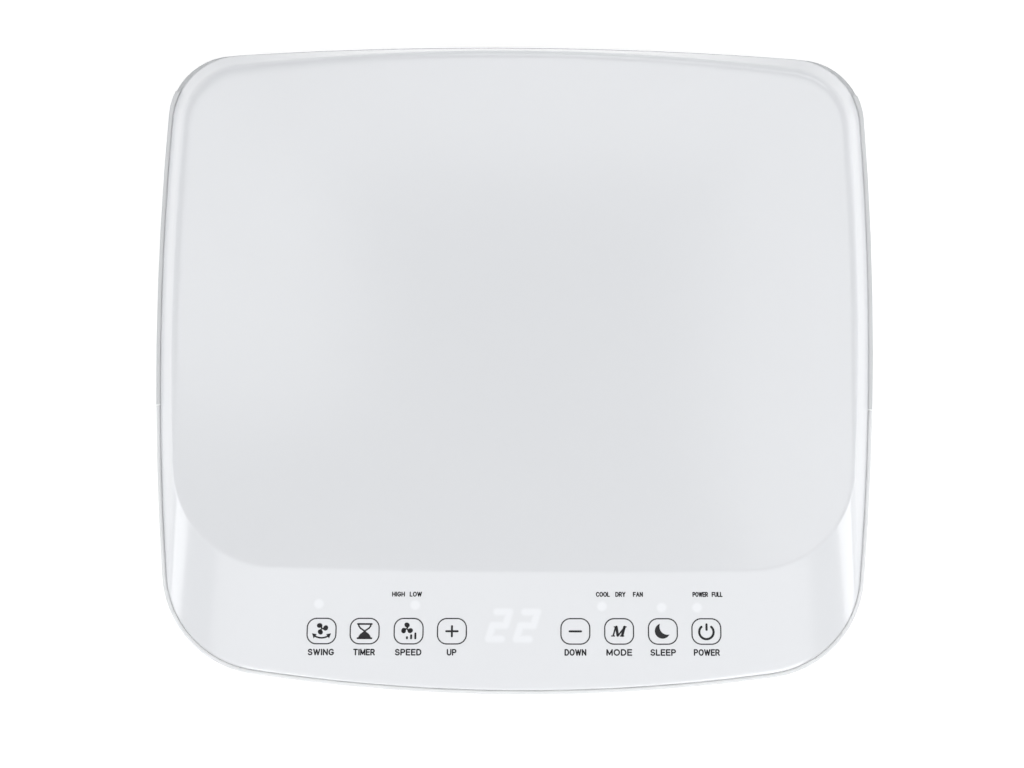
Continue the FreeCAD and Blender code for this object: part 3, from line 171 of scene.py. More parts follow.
def metal(name, colour, roughness, edge=0.0005, brushed=None):
    """Plated or drawn metal, with smears in its roughness and, if brushed, fine lines along an axis."""
    shader = Shader(name, roughness, colour, metallic=1.0)
    smear = shader.noise(25.0, 5.0)
    shader.link("Roughness", shader.span(smear, 0.3, 0.7, roughness * 0.75, roughness * 1.3))
    shader.link("Base Color", shader.blend(smear, tuple(0.92 * part for part in colour), colour))
    lines = shader.noise(400.0, 2.0)
    if brushed:
        stretched = shader.vector("MULTIPLY", shader.place, brushed)
        lines = shader.noise(300.0, 2.0, stretched)
    shader.relief(lines, 0.00002, edge=edge)
    return shader.material


# The signal lights and the digits that shine through the cover, in millimetres on the panel.
LIGHTS = [(-86.4, -104.3), (-43.5, -104.5), (39.6, -104.6), (66.2, -104.9), (82.0, -104.8)]
LIGHT_RADIUS = 2.2
DIGIT_CENTRES = [-6.1, 6.3]
DIGIT_Y = -113.4
DIGIT_HALF_HEIGHT = 6.1
DIGIT_HALF_WIDTH = 2.85
DIGIT_SLANT = 0.30
DIGIT_STROKE = 1.65
# which of the segments of a seven-segment figure make a two: corners are (column, row) from -1 to 1
TWO = [((-1, 1), (1, 1)), ((1, 1), (1, 0)), ((1, 0), (-1, 0)), ((-1, 0), (-1, -1)), ((-1, -1), (1, -1))]


def glow(shader):
    """How strongly the display shines through at each point: round lights, and slanted figures made of
    straight strokes, all with soft edges."""
    flat = shader.vector("MULTIPLY", shader.place, (1 / MM, 1 / MM, 0.0))
    strongest = None
    for x, y in LIGHTS:
        reach = shader.vector("LENGTH", shader.vector("SUBTRACT", flat, (x, y, 0.0)))
        spot = shader.span(reach, LIGHT_RADIUS + 0.7, LIGHT_RADIUS - 0.9, smooth=True)
        strongest = spot if strongest is None else shader.math("MAXIMUM", strongest, spot)
    for centre in DIGIT_CENTRES:
        for corners in TWO:
            ends = []
            for column, row in corners:
                lean = DIGIT_SLANT * row * DIGIT_HALF_HEIGHT
                x = centre + column * DIGIT_HALF_WIDTH + lean
                ends.append(Vector((x, DIGIT_Y + row * DIGIT_HALF_HEIGHT, 0.0)))
            along = ends[1] - ends[0]
            away = shader.vector("SUBTRACT", flat, ends[0][:])
            ahead = shader.vector("DOT_PRODUCT", away, along[:])
            share = shader.math("MULTIPLY", ahead, 1 / along.length_squared, clamp=True)
            nearest = shader.add("ShaderNodeVectorMath", operation="SCALE")
            nearest.inputs[0].default_value = along[:]
            shader.feed(nearest, "Scale", share)
            reach = shader.vector("LENGTH", shader.vector("SUBTRACT", away, nearest.outputs["Vector"]))
            stroke = shader.span(reach, DIGIT_STROKE + 0.8, DIGIT_STROKE - 1.0, smooth=True)
            strongest = shader.math("MAXIMUM", strongest, stroke)
    return strongest


def cover_material():
    """The glossy white cover, lit from behind by its display."""
    shader = Shader("cover_white", 0.12, (0.725, 0.735, 0.755), specular=0.5, coat=0.5)
    cloud = shader.noise(7.0, 3.0)
    shader.link("Base Color", shader.blend(cloud, (0.717, 0.728, 0.750), (0.733, 0.744, 0.764)))
    shader.link("Roughness", shader.span(shader.noise(50.0), 0.3, 0.7, 0.11, 0.14))
    shader.relief(shader.noise(900.0, 2.0), 0.000006, edge=0.0004)
    shader.set("Emission Color", (0.93, 0.95, 1.0, 1.0))
    shader.link("Emission Strength", shader.math("MULTIPLY", glow(shader), 0.075))
    return shader.material


def coil_material():
    """Closely stacked bare fins: light edges, painted shade in the gaps, and the odd bent patch."""
    shader = Shader("coil_fins", 0.35, (0.72, 0.73, 0.74), metallic=0.9)
    axis = shader.add("ShaderNodeSeparateXYZ")
    shader.feed(axis, 0, shader.place)
    bent = shader.math("MULTIPLY", shader.noise(30.0, 2.0), 0.0012)
    across = shader.math("ADD", axis.outputs["X"], bent)
    wave = shader.math("SINE", shader.math("MULTIPLY", across, 2 * math.pi / 0.0018))
    edge = shader.span(wave, -0.2, 0.8)
    # the dark colour is painted shade in the gaps between the fins; the light one is the fins' own metal
    shader.link("Base Color", shader.blend(edge, (0.10, 0.10, 0.105), (0.76, 0.77, 0.78)))
    shader.relief(edge, 0.0006)
    return shader.material


def mesh_material():
    """A woven dust mesh: two sets of threads with painted shade in the holes between them."""
    shader = Shader("filter_weave", 0.6, (0.12, 0.12, 0.13))
    axis = shader.add("ShaderNodeSeparateXYZ")
    shader.feed(axis, 0, shader.place)
    rate = 2 * math.pi / 0.0016
    one = shader.math("SINE", shader.math("MULTIPLY", axis.outputs["X"], rate))
    other = shader.math("SINE", shader.math("MULTIPLY", axis.outputs["Z"], rate))
    thread = shader.span(shader.math("MAXIMUM", one, other), 0.1, 0.7)
    # the near-black colour is painted shade in the holes between the threads
    shader.link("Base Color", shader.blend(thread, (0.012, 0.012, 0.013), (0.16, 0.165, 0.17)))
    shader.relief(thread, 0.0003)
    return shader.material


def board_material():
    """A printed board: solder resist with tracks showing through it."""
    shader = Shader("board_resist", 0.35, (0.03, 0.20, 0.09), coat=0.3)
    cells = shader.add("ShaderNodeTexVoronoi", feature="DISTANCE_TO_EDGE")
    shader.feed(cells, "Vector", shader.place)
    shader.feed(cells, "Scale", 160.0)
    track = shader.span(cells.outputs["Distance"], 0.05, 0.12)
    shader.link("Base Color", shader.blend(track, (0.05, 0.30, 0.14), (0.02, 0.16, 0.07)))
    shader.relief(track, 0.00005)
    return shader.material


def make_materials():
    return {
        "shell_white": moulded("shell_white", (0.70, 0.71, 0.72), 0.24, 900.0, 0.000008, edge=0.0007),
        "rear_white": moulded("rear_white", (0.70, 0.71, 0.72), 0.42, 1500.0, 0.00005, edge=0.0007),
        "vane_white": moulded("vane_white", (0.76, 0.77, 0.78), 0.35, 1300.0, 0.00003, edge=0.0003),
        "inner_grey": moulded("inner_grey", (0.16, 0.165, 0.17), 0.6, 700.0, 0.00006),
        "wheel_black": moulded("wheel_black", (0.02, 0.02, 0.022), 0.45, 800.0, 0.00004, edge=0.0003),
        "castor_grey": moulded("castor_grey", (0.045, 0.046, 0.05), 0.4, 1200.0, 0.00005, edge=0.0005),
        "castor_tyre": moulded("castor_tyre", (0.07, 0.07, 0.075), 0.5, 900.0, 0.00006, edge=0.0006),
        "zinc": metal("zinc", (0.62, 0.63, 0.64), 0.38),
        "fins": coil_material(),
        "copper": metal("copper", (0.78, 0.42, 0.26), 0.3),
        "black_steel": moulded("black_steel", (0.015, 0.015, 0.017), 0.28, 500.0, 0.00005, coat=0.4),
        "rubber": moulded("rubber", (0.022, 0.022, 0.022), 0.75, 900.0, 0.00008),
        "filter_mesh": mesh_material(),
        "board_green": board_material(),
        "spring_steel": metal("spring_steel", (0.72, 0.72, 0.72), 0.25, brushed=(1, 1, 20)),
        "led_white": moulded("led_white", (0.86, 0.88, 0.90), 0.3, 600.0, 0.00002),
        "shaft_steel": metal("shaft_steel", (0.60, 0.60, 0.61), 0.28, brushed=(12, 1, 12)),
        "screw_steel": metal("screw_steel", (0.70, 0.70, 0.70), 0.3),
    }


def dress_frame(materials):
    """Every CAD node takes the material of its slot in the record."""
    slots = {entry["node"]: entry["material_slot"] for entry in frame["record"]["subparts"]}
    for name, obj in NODES.items():
        obj.data.materials.clear()
        obj.data.materials.append(materials[slots[name]])


# ---------------------------------------------------------------- mesh helpers
def mesh_object(name, points, faces, material, smooth=True):
    mesh = bpy.data.meshes.new(name)
    mesh.from_pydata([tuple(part * MM for part in point) for point in points], [], faces)
    mesh.validate()
    for polygon in mesh.polygons:
        polygon.use_smooth = smooth
    mesh.materials.append(material)
    obj = bpy.data.objects.new(name, mesh)
    bpy.context.collection.objects.link(obj)
    return obj


def lerp(one, other, share):
    return tuple(a + (b - a) * share for a, b in zip(one, other))


# ---------------------------------------------------------------- outlines
class Outline:
    """Eight tangent arcs about the Y axis, the same construction as the case's own."""

    def __init__(self, half_width, front, rear, bows, corners):
        self.bows = bows
        self.radii = corners
        self.ends = [
            Vector((0, bows[0] - front)),
            Vector((0, rear - bows[2])),
        ]
        self.side = Vector((half_width - bows[1], 0))
        self.corners = [self._corner(0, -1), self._corner(1, 1)]

    def _corner(self, which, sign):
        end, radius = self.ends[which], self.radii[which]
        one, other = self.bows[0 if which == 0 else 2] - radius, self.bows[1] - radius
        line = self.side - end
        along = (one**2 - other**2 + line.length_squared) / (2 * line.length)
        across = math.sqrt(one**2 - along**2)
        line.normalize()
        normal = Vector((-line.y, line.x))
        found = [end + line * along + normal * side * across for side in (-1, 1)]
        return max(found, key=lambda p: p.x if p.y * sign > 0 else -1e9)

    def ring(self, counts):
        """Points round the outline, from the middle of the front towards +X, with a count for each of the
        half front, the front corner, the side, the rear corner and the half rear."""
        def touch(centre, bow, corner):
            return centre + (corner - centre).normalized() * bow

        front, rear = self.corners
        marks = [
            Vector((0, self.ends[0].y - self.bows[0])),
            touch(self.ends[0], self.bows[0], front),
            touch(self.side, self.bows[1], front),
            touch(self.side, self.bows[1], rear),
            touch(self.ends[1], self.bows[2], rear),
            Vector((0, self.ends[1].y + self.bows[2])),
        ]
        centres = [self.ends[0], front, self.side, rear, self.ends[1]]
        half = []
        for index, (centre, count) in enumerate(zip(centres, counts)):
            first, last = marks[index] - centre, marks[index + 1] - centre
            start = math.atan2(first.y, first.x)
            turn = (math.atan2(last.y, last.x) - start + math.pi) % (2 * math.pi) - math.pi
            for step in range(count):
                angle = start + turn * step / count
                half.append(centre + Vector((math.cos(angle), math.sin(angle))) * first.length)
        half.append(marks[5])
        other = [Vector((-p.x, p.y)) for p in half[-2:0:-1]]
        return half + other


# points on the half front, the front corner, the side, the rear corner and the half rear
COUNTS = (40, 28, 30, 20, 36)
COVER = Outline(157.8, 142.3, 144.1, (804.8, 1322.8, 1802.6), (44.8, 31.0))
FLAT = Outline(152.5, 89.0, 142.4, (6000.0, 1325.0, 965.0), (46.0, 27.0))
INNER = Outline(155.3, 139.8, 141.6, (802.3, 1320.3, 1800.1), (42.3, 28.5))
LEDGE = Outline(158.1, 142.6, 144.3, (805.1, 1323.1, 1802.8), (45.1, 31.2))
# where the rows of points lie: up the slopes, and from the edge of the flat top to its middle
SLOPE_SHARES = [0.04, 0.12, 0.2, 0.3, 0.4, 0.5, 0.6, 0.7, 0.8, 0.88, 0.94, 0.98]
TOP_SHARES = [
    0.972, 0.965, 0.955, 0.94, 0.9, 0.85, 0.8, 0.74, 0.67, 0.6, 0.52, 0.44, 0.35, 0.26, 0.17, 0.08,
]


def cover_mesh(material):
    """The cover: a skirt, a rounded lower edge, the slopes, a crease that is crisp only at the front and
    a domed top."""
    rim, flat, inner, ledge = (shape.ring(COUNTS) for shape in (COVER, FLAT, INNER, LEDGE))
    rows = [
        [(p.x, p.y, SKIRT_LOW) for p in inner],
        [(p.x, p.y, SKIRT_LOW) for p in rim],
        [(p.x, p.y, RIM_Z - LEDGE_BEVEL_LOW) for p in rim],
        [(p.x, p.y, RIM_Z - LEDGE_LOW) for p in ledge],
        [(p.x, p.y, RIM_Z - LEDGE_HIGH) for p in ledge],
        [(p.x, p.y, RIM_Z - LEDGE_BEVEL_HIGH) for p in rim],
    ]
    edge_z = TOP_Z - DOME
    middle = Vector((0.0, 12.0))

    def domed(point, share):
        spot = middle + (point - middle) * share
        return spot, TOP_Z - DOME * share**2

    def corner(before, point, after, radius, steps):
        """Points of the small arc that rounds one corner of the profile."""
        back = (Vector(before) - Vector(point)).normalized()
        ahead = (Vector(after) - Vector(point)).normalized()
        first, last = Vector(point) + back * radius, Vector(point) + ahead * radius
        return [
            tuple((1 - k) ** 2 * first + 2 * k * (1 - k) * Vector(point) + k**2 * last)
            for k in (step / steps for step in range(steps + 1))
        ]

    low_corner, crease = [], []
    for p, q in zip(rim, flat):
        below, turn = (p.x, p.y, SKIRT_LOW), (p.x, p.y, RIM_Z)
        top = (q.x, q.y, edge_z)
        spot, z = domed(q, 0.9)
        share = min(1.0, max(0.0, (q.y - SOFTENS_FROM_Y) / SOFTENS_OVER))
        softness = FRONT_CREASE + (SIDE_CREASE - FRONT_CREASE) * share**2 * (3 - 2 * share)
        low_corner.append(corner(below, turn, top, LOW_ROUND, LOW_STEPS))
        crease.append(corner(turn, top, (spot.x, spot.y, z), softness, CREASE_STEPS))
    for step in range(LOW_STEPS + 1):
        rows.append([points[step] for points in low_corner])
    for share in SLOPE_SHARES:
        rows.append([lerp(a[-1], b[0], share) for a, b in zip(low_corner, crease)])
    for step in range(CREASE_STEPS + 1):
        rows.append([points[step] for points in crease])
    for share in TOP_SHARES:
        row = []
        for q in flat:
            spot, z = domed(q, share)
            row.append((spot.x, spot.y, z))
        rows.append(row)
    count = len(rim)
    points = [point for row in rows for point in row]
    faces = []
    for row in range(len(rows) - 1):
        for index in range(count):
            after = (index + 1) % count
            a, b = row * count + index, row * count + after
            faces.append((a, b, b + count, a + count))
    points.append((middle.x, middle.y, TOP_Z))
    last = (len(rows) - 1) * count
    faces += [(last + index, last + (index + 1) % count, len(points) - 1) for index in range(count)]
    obj = mesh_object("cover", points, faces, material)
    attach(obj, "case")
    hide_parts("top_cover")
    return obj


# ---------------------------------------------------------------- printing on the panel
KEY_Y = -116.0
KEYS = {
    "SWING": (-85.2, 11.5), "TIMER": (-66.0, 9.5), "SPEED": (-46.4, 11.6), "UP": (-27.1, 4.15),
    "DOWN": (27.9, 9.5), "MODE": (47.4, 11.3), "SLEEP": (66.9, 11.2), "POWER": (86.3, 11.4),
}
LABEL_LOW, LABEL_CAP = -126.85, 2.8
SIGNS = {
    "HIGH": (-54.1, -48.5), "LOW": (-46.2, -40.9), "COOL": (37.2, 43.3), "DRY": (45.9, 50.3),
    "FAN": (53.8, 58.1), "POWER_ON": (80.5, 87.3), "FULL": (89.1, 93.8),
}
SIGN_LOW, SIGN_CAP = -100.4, 2.05
INK_LIFT, INK_DEPTH = 0.03, 0.03
FAN_OUT = 0.0004
PRINT_TILT = 0.0058
INK_SPREAD = 0.2


def bow(x, y, wide, tall, first, last, steps=10):
    """Points along part of an ellipse, in degrees, for the round strokes of a letter."""
    turns = [math.radians(first + (last - first) * step / steps) for step in range(steps + 1)]
    return [(x + wide * math.cos(turn), y + tall * math.sin(turn)) for turn in turns]


# Plain capitals as strokes: each has its width and its lines, on a unit height.
LETTERS = {
    "A": (0.80, [[(0, 0), (0.4, 1), (0.8, 0)], [(0.16, 0.34), (0.64, 0.34)]]),
    "C": (0.75, [bow(0.42, 0.5, 0.42, 0.5, 42, 318, 18)]),
    "D": (0.72, [[(0, 0), (0, 1), (0.3, 1), *bow(0.3, 0.5, 0.42, 0.5, 90, -90, 14), (0, 0)]]),
    "E": (0.62, [[(0.62, 1), (0, 1), (0, 0), (0.62, 0)], [(0, 0.52), (0.56, 0.52)]]),
    "F": (0.60, [[(0.6, 1), (0, 1), (0, 0)], [(0, 0.5), (0.52, 0.5)]]),
    "G": (0.80, [[*bow(0.42, 0.5, 0.42, 0.5, 42, 330, 18), (0.79, 0.44), (0.5, 0.44)]]),
    "H": (0.70, [[(0, 0), (0, 1)], [(0.7, 0), (0.7, 1)], [(0, 0.5), (0.7, 0.5)]]),
    "I": (0.04, [[(0.02, 0), (0.02, 1)]]),
    "L": (0.56, [[(0, 1), (0, 0), (0.56, 0)]]),
    "M": (0.86, [[(0, 0), (0, 1), (0.43, 0.12), (0.86, 1), (0.86, 0)]]),
    "N": (0.70, [[(0, 0), (0, 1), (0.7, 0), (0.7, 1)]]),
    "O": (0.86, [bow(0.43, 0.5, 0.43, 0.5, 90, 450, 24)]),
    "P": (0.66, [[(0, 0), (0, 1), (0.38, 1), *bow(0.38, 0.73, 0.28, 0.27, 90, -90, 10), (0, 0.46)]]),
    "R": (0.70, [[(0, 0), (0, 1), (0.38, 1), *bow(0.38, 0.73, 0.28, 0.27, 90, -90, 10), (0, 0.46)],
                 [(0.36, 0.46), (0.7, 0)]]),
    "S": (0.66, [[*bow(0.33, 0.75, 0.3, 0.25, 25, 250, 12), *bow(0.33, 0.26, 0.33, 0.26, 70, -160, 12)]]),
    "T": (0.72, [[(0, 1), (0.72, 1)], [(0.36, 1), (0.36, 0)]]),
    "U": (0.70, [[(0, 1), *bow(0.35, 0.35, 0.35, 0.35, 180, 360, 14), (0.7, 1)]]),
    "W": (1.10, [[(0, 1), (0.28, 0), (0.55, 0.95), (0.82, 0), (1.1, 1)]]),
    "Y": (0.72, [[(0, 1), (0.36, 0.45), (0.72, 1)], [(0.36, 0.45), (0.36, 0)]]),
}


class Ink:
    """Flat printed shapes, gathered as polygons in millimetres and laid on the surface of the cover."""

    def __init__(self, surface):
        self.surface = surface
        self.points, self.faces = [], []

    def add(self, points, faces):
        base = len(self.points)
        self.points += points
        self.faces += [tuple(base + index for index in face) for face in faces]

    def ribbon(self, path, width, closed=False):
        """A line of even width along a path, with round ends and round corners when it is open."""
        path = [Vector(p) for p in path]
        path = [here for index, here in enumerate(path) if not index or here != path[index - 1]]
        width += INK_SPREAD
        if closed:
            self.strip(path, width, True)
            return
        start = 0
        for index in range(1, len(path)):
            last = index == len(path) - 1
            if last or (path[index + 1] - path[index]).angle(path[index] - path[index - 1], 0.0) > 0.5:
                self.strip(path[start:index + 1], width)
                start = index

    def strip(self, path, width, closed=False):
        """A smooth stretch of a line, with a round at each end when it is open."""
        sides = []
        for index, here in enumerate(path):
            before = path[index - 1] if index or closed else here
            after = path[(index + 1) % len(path)] if index + 1 < len(path) or closed else here
            along = (after - before).normalized()
            across = Vector((-along.y, along.x)) * width / 2
            sides.append((here + across, here - across))
        count = len(path)
        points = [p for pair in sides for p in pair]
        spans = range(count if closed else count - 1)
        faces = [(2 * i, 2 * i + 1, 2 * ((i + 1) % count) + 1, 2 * ((i + 1) % count)) for i in spans]
        self.add(points, faces)
        if not closed:
            for end in (path[0], path[-1]):
                self.disc(end, width / 2)

    def fill(self, outline):
        self.add([Vector(p) for p in outline], [tuple(range(len(outline)))])

    def disc(self, centre, radius, stretch=1.0, angle=0.0):
        """A filled circle, or an ellipse stretched along an angle in degrees."""
        turn = math.radians(angle)
        outline = []
        for step in range(20):
            around = 2 * math.pi * step / 20
            x, y = radius * stretch * math.cos(around), radius * math.sin(around)
            outline.append((
                centre[0] + x * math.cos(turn) - y * math.sin(turn),
                centre[1] + x * math.sin(turn) + y * math.cos(turn),
            ))
        self.fill(outline)

    def arc(self, centre, radius, first, last, steps=24):
        """Points along an arc, in degrees."""
        return [
            (
                centre[0] + radius * math.cos(math.radians(first + (last - first) * k / steps)),
                centre[1] + radius * math.sin(math.radians(first + (last - first) * k / steps)),
            )
            for k in range(steps + 1)
        ]

    def words(self, text, left, right, low, cap, weight):
        """A generic word in plain upright capitals between two sides, on a base line."""
        widths = [LETTERS[letter][0] for letter in text]
        gap = 0.36
        share = (right - left - weight) / (sum(widths) + gap * (len(text) - 1))
        here = left + weight / 2
        tall = cap - weight
        for letter, wide in zip(text, widths):
            for stroke in LETTERS[letter][1]:
                path = [(here + x * share, low + weight / 2 + y * tall) for x, y in stroke]
                self.ribbon(path, weight)
            here += (wide + gap) * share

    def place(self, name, material):
        """Lays the shapes on the cover as a thin film with its own thickness."""
        points, lifted = [], []
        for p in self.points:
            x = p[0] * (1 - FAN_OUT * (p[1] - KEY_Y))
            y = p[1] + PRINT_TILT * p[0]
            start = Vector((x * MM, y * MM, (TOP_Z + 20) * MM))
            hit = self.surface.ray_cast(start, Vector((0, 0, -1)))[0]
            points.append((x, y, hit.z / MM + INK_LIFT - INK_DEPTH))
            lifted.append((x, y, hit.z / MM + INK_LIFT))
        count = len(points)
        faces = [tuple(index + count for index in face) for face in self.faces]
        faces += [tuple(reversed(face)) for face in self.faces]
        edges = {}
        for face in self.faces:
            for one, other in zip(face, face[1:] + face[:1]):
                edges[(one, other)] = True
        for one, other in edges:
            if (other, one) not in edges:
                faces.append((one, other, other + count, one + count))
        obj = mesh_object(name, points + lifted, faces, material, smooth=False)
        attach(obj, "case")
        return obj


def key_ring(ink, x):
    """The outline of one key: a rectangle with large round corners."""
    half_x, half_y, radius = 6.42, 5.72, 4.2
    path = []
    for sign_x, sign_y, start in ((1, 1, 0), (-1, 1, 90), (-1, -1, 180), (1, -1, 270)):
        centre = (x + sign_x * (half_x - radius), KEY_Y + sign_y * (half_y - radius))
        path += ink.arc(centre, radius, start, start + 90, 12)
    ink.ribbon(path, 0.36, closed=True)


def fan_sign(ink, x, y, first, reach=1.7, size=1.08):
    """A small fan: three blades about a hub, the first at an angle."""
    for index in range(3):
        angle = first + 120 * index
        spot = (x + reach * math.cos(math.radians(angle)), y + reach * math.sin(math.radians(angle)))
        ink.disc(spot, size, 1.15, angle + 60)
        turn = math.radians(angle - 14)
        near = (x + 0.75 * math.cos(turn), y + 0.75 * math.sin(turn))
        ink.ribbon([near, spot], 0.75)
    ink.disc((x, y), 0.42)


def swing_sign(ink, x, y):
    """A fan over a curved arrow with a head at each end."""
    fan_sign(ink, x + 0.1, y + 1.15, 8)
    ink.ribbon(ink.arc((x, y + 2.7), 5.75, 232, 308), 0.55)
    for side in (-1, 1):
        tip = (x + side * 4.25, y - 1.0)
        head = [tip, (x + side * 2.1, y - 1.4), (x + side * 3.45, y - 3.35)]
        ink.fill(head if side < 0 else head[::-1])


def timer_sign(ink, x, y):
    """An hourglass whose sand has run down."""
    for level in (3.2, -3.2):
        ink.ribbon([(x - 3.1, y + level), (x + 3.1, y + level)], 0.6)
    for side in (-1, 1):
        glass = [
            (x + side * 2.75, y + 3.1), (x + side * 2.6, y + 2.3), (x + side * 2.0, y + 1.4),
            (x + side * 1.1, y + 0.75), (x, y + 0.05),
        ]
        ink.ribbon(glass, 0.5)
    sand = [(x - 2.9, y - 3.1), (x + 2.9, y - 3.1), (x + 2.55, y - 2.1), (x + 1.9, y - 1.2),
            (x + 1.0, y - 0.55), (x + 0.2, y + 0.15), (x - 0.2, y + 0.15), (x - 1.0, y - 0.55),
            (x - 1.9, y - 1.2), (x - 2.55, y - 2.1)]
    ink.fill(sand)


def speed_sign(ink, x, y):
    """A fan with three bars that grow."""
    fan_sign(ink, x - 0.75, y + 1.1, 90)
    for index in range(3):
        left = x - 0.7 + 1.87 * index
        ink.ribbon([(left, y - 3.2), (left, y - 2.7 + 0.85 * index)], 0.7)


def plus_sign(ink, x, y):
    ink.ribbon([(x - 2.55, y), (x + 2.55, y)], 0.72)
    ink.ribbon([(x, y - 2.3), (x, y + 2.3)], 0.72)


def minus_sign(ink, x, y):
    ink.ribbon([(x - 2.55, y), (x + 2.55, y)], 0.74)


def mode_sign(ink, x, y):
    """A slanted letter with slab feet."""
    lean = 0.27

    def at(across, up):
        return (x + across + lean * up, y + up)

    thin, thick = 0.5, 1.0
    ink.ribbon([at(-2.1, -1.9), at(-2.1, 2.0)], thin)
    ink.ribbon([at(-1.75, 2.0), at(-0.15, -1.8)], thick)
    ink.ribbon([at(0.05, -1.9), at(2.0, 2.0)], thin)
    ink.ribbon([at(1.85, -1.9), at(1.85, 2.0)], thick)
    for left, right, up in ((-2.8, -1.5, -2.05), (1.0, 2.6, -2.05), (-2.7, -1.7, 2.05), (1.6, 2.6, 2.05)):
        ink.ribbon([at(left, up), at(right, up)], 0.35)


def sleep_sign(ink, x, y):
    """A crescent: the part of one circle that another doesn't cover."""
    outer, inner = Vector((x - 0.15, y + 0.2)), Vector((x + 2.1, y + 2.15))
    outer_radius, inner_radius = 3.45, 3.6
    gap = inner - outer
    along = (outer_radius**2 - inner_radius**2 + gap.length_squared) / (2 * gap.length)
    half = math.degrees(math.acos(along / outer_radius))
    towards = math.degrees(math.atan2(gap.y, gap.x))
    back = math.degrees(math.acos((gap.length - along) / inner_radius))
    edge = ink.arc(outer, outer_radius, towards + half, towards + 360 - half, 40)
    hollow = ink.arc(inner, inner_radius, towards + 180 - back, towards + 180 + back, 40)
    count = len(edge)
    points = [Vector(p) for p in edge + hollow]
    faces = [(i, i + 1, count + i + 1, count + i) for i in range(count - 1)]
    ink.add(points, faces)


def power_sign(ink, x, y):
    """An open ring with a bar through its gap."""
    ink.ribbon(ink.arc((x, y - 0.25), 3.2, 133, 407, 40), 0.82)
    ink.ribbon([(x + 0.1, y + 0.75), (x + 0.1, y + 3.2)], 0.78)


DRAWINGS = {
    "SWING": swing_sign, "TIMER": timer_sign, "SPEED": speed_sign, "UP": plus_sign,
    "DOWN": minus_sign, "MODE": mode_sign, "SLEEP": sleep_sign, "POWER": power_sign,
}


def print_panel(cover, black, grey):
    """Rings, signs and words of the touch keys."""
    graph = bpy.context.evaluated_depsgraph_get()
    surface = BVHTree.FromObject(cover, graph)
    rings, signs, words = Ink(surface), Ink(surface), Ink(surface)
    for word, (x, wide) in KEYS.items():
        key_ring(rings, x)
        DRAWINGS[word](signs, x, KEY_Y)
        words.words(word, x - wide / 2, x + wide / 2, LABEL_LOW, LABEL_CAP, 0.41)
    for word, (left, right) in SIGNS.items():
        words.words(word.split("_")[0], left, right, SIGN_LOW, SIGN_CAP, 0.29)
    rings.place("key_rings", grey)
    signs.place("key_signs", black)
    words.place("key_words", black)


def ink_material(name, colour):
    """Screen-printed ink: matt, and a little uneven in tone."""
    shader = Shader(name, 0.55, colour, specular=0.3)
    patch = shader.noise(700.0, 3.0)
    lighter = tuple(part * 1.5 + 0.004 for part in colour)
    shader.link("Base Color", shader.blend(patch, colour, lighter))
    shader.relief(patch, 0.00001)
    return shader.material


# ---------------------------------------------------------------- stage
PIXEL = 0.4446
VIEW_X, VIEW_Y = -1.1, -5.8
VIEW_HEIGHT = 3.6
VIEW_ROLL = 0.4
# the sky is bright at the horizon and falls to a dim zenith by this share of the height
HORIZON, ZENITH, SKY_RAMP = 1.65, 0.27, 0.55
FLOOR_HALF = 6000.0
MIDDLE = (0, 0, 0.5)


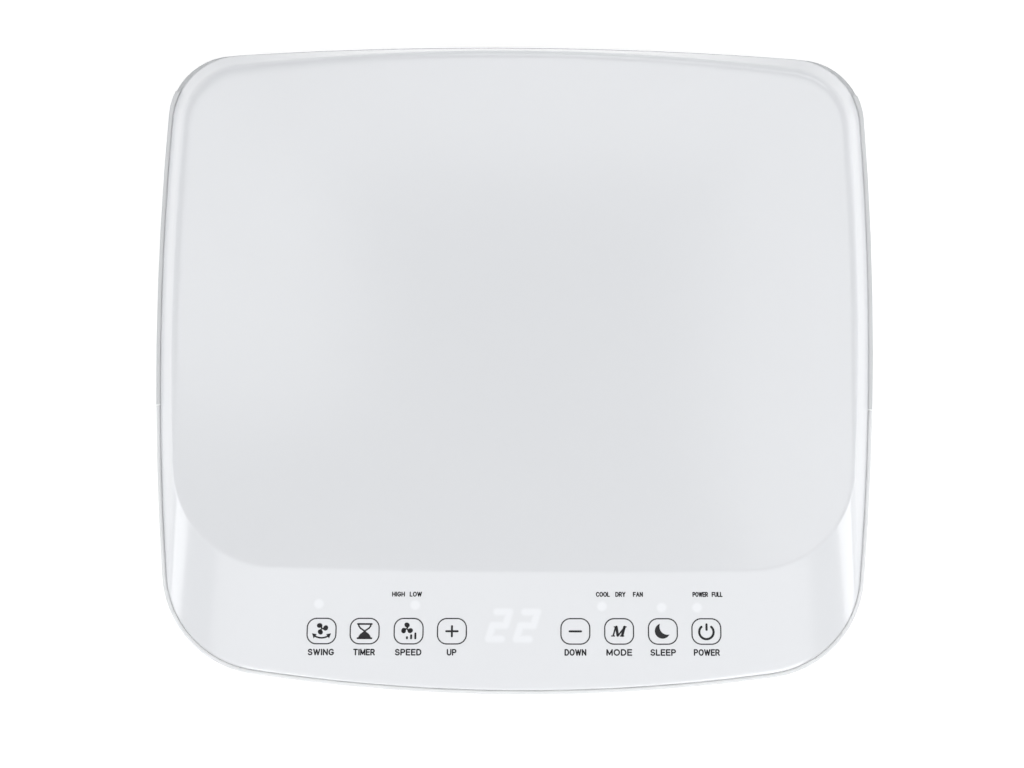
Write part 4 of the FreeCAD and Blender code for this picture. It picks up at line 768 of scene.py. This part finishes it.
def stage():
    floor_shader = Shader("floor_white", 0.9, (0.5, 0.5, 0.5), specular=0.1)
    floor_shader.set("Emission Color", (1.0, 1.0, 1.0, 1.0))
    floor_shader.set("Emission Strength", 0.66)
    signs = ((-1, -1), (1, -1), (1, 1), (-1, 1))
    corners = [(x * FLOOR_HALF, y * FLOOR_HALF, 0) for x, y in signs]
    floor = mesh_object("floor", corners, [(0, 1, 2, 3)], floor_shader.material, smooth=False)

    world = bpy.data.worlds.new("studio")
    bpy.context.scene.world = world
    world.use_nodes = True
    tree = world.node_tree
    place = tree.nodes.new("ShaderNodeTexCoord")
    axis = tree.nodes.new("ShaderNodeSeparateXYZ")
    ramp = tree.nodes.new("ShaderNodeMapRange")
    tree.links.new(place.outputs["Generated"], axis.inputs[0])
    tree.links.new(axis.outputs["Z"], ramp.inputs[0])
    for index, value in enumerate((0.0, SKY_RAMP, HORIZON, ZENITH), start=1):
        ramp.inputs[index].default_value = value
    background = tree.nodes["Background"]
    tree.links.new(ramp.outputs[0], background.inputs["Strength"])
    background.inputs["Color"].default_value = (0.98, 0.99, 1.0, 1.0)

    def softbox(name, where, aim, width, height, power):
        light = bpy.data.lights.new(name, "AREA")
        light.shape = "RECTANGLE"
        light.size, light.size_y = width, height
        light.energy = power
        holder = bpy.data.objects.new(name, light)
        holder.location = where
        holder.rotation_euler = (Vector(aim) - Vector(where)).to_track_quat("-Z", "Y").to_euler()
        bpy.context.collection.objects.link(holder)

    softbox("front_box", (0.3, -3.2, 4.0), MIDDLE, 2.4, 1.4, 56)
    softbox("front_card", (0.0, -2.9, 6.0), MIDDLE, 4.4, 2.0, 24)
    softbox("rear_box", (0.9, 2.6, 3.6), MIDDLE, 2.4, 1.2, 20)
    softbox("right_box", (2.7, -0.8, 2.8), MIDDLE, 1.4, 2.4, 34)
    softbox("left_box", (-2.7, -0.8, 2.8), MIDDLE, 1.4, 2.4, 32)
    softbox("high_left_card", (-0.50, 0.24, 6.0), (-0.50, 0.24, 0), 0.5, 0.60, 1.4)
    softbox("high_rear_card", (0.05, 0.52, 6.0), (0.05, 0.52, 0), 0.6, 0.36, 1.1)
    softbox("high_right_card", (0.56, 0.02, 6.0), (0.56, 0.02, 0), 0.5, 1.3, 3.0)


def camera():
    data = bpy.data.cameras.new("camera")
    distance = VIEW_HEIGHT - TOP_Z * MM
    data.sensor_width = 36.0
    data.lens = 36.0 * distance / (1024 * PIXEL * MM)
    data.clip_end = 50.0
    holder = bpy.data.objects.new("camera", data)
    holder.location = (VIEW_X * MM, VIEW_Y * MM, VIEW_HEIGHT)
    holder.rotation_euler = (0.0, 0.0, math.radians(VIEW_ROLL))
    bpy.context.collection.objects.link(holder)
    bpy.context.scene.camera = holder


materials = make_materials()
dress_frame(materials)
cover = cover_mesh(cover_material())
black = ink_material("ink_black", (0.008, 0.008, 0.01))
grey = ink_material("ink_grey", (0.02, 0.02, 0.023))
print_panel(cover, black, grey)
stage()
camera()
bpy.context.scene.view_settings.view_transform = "Standard"
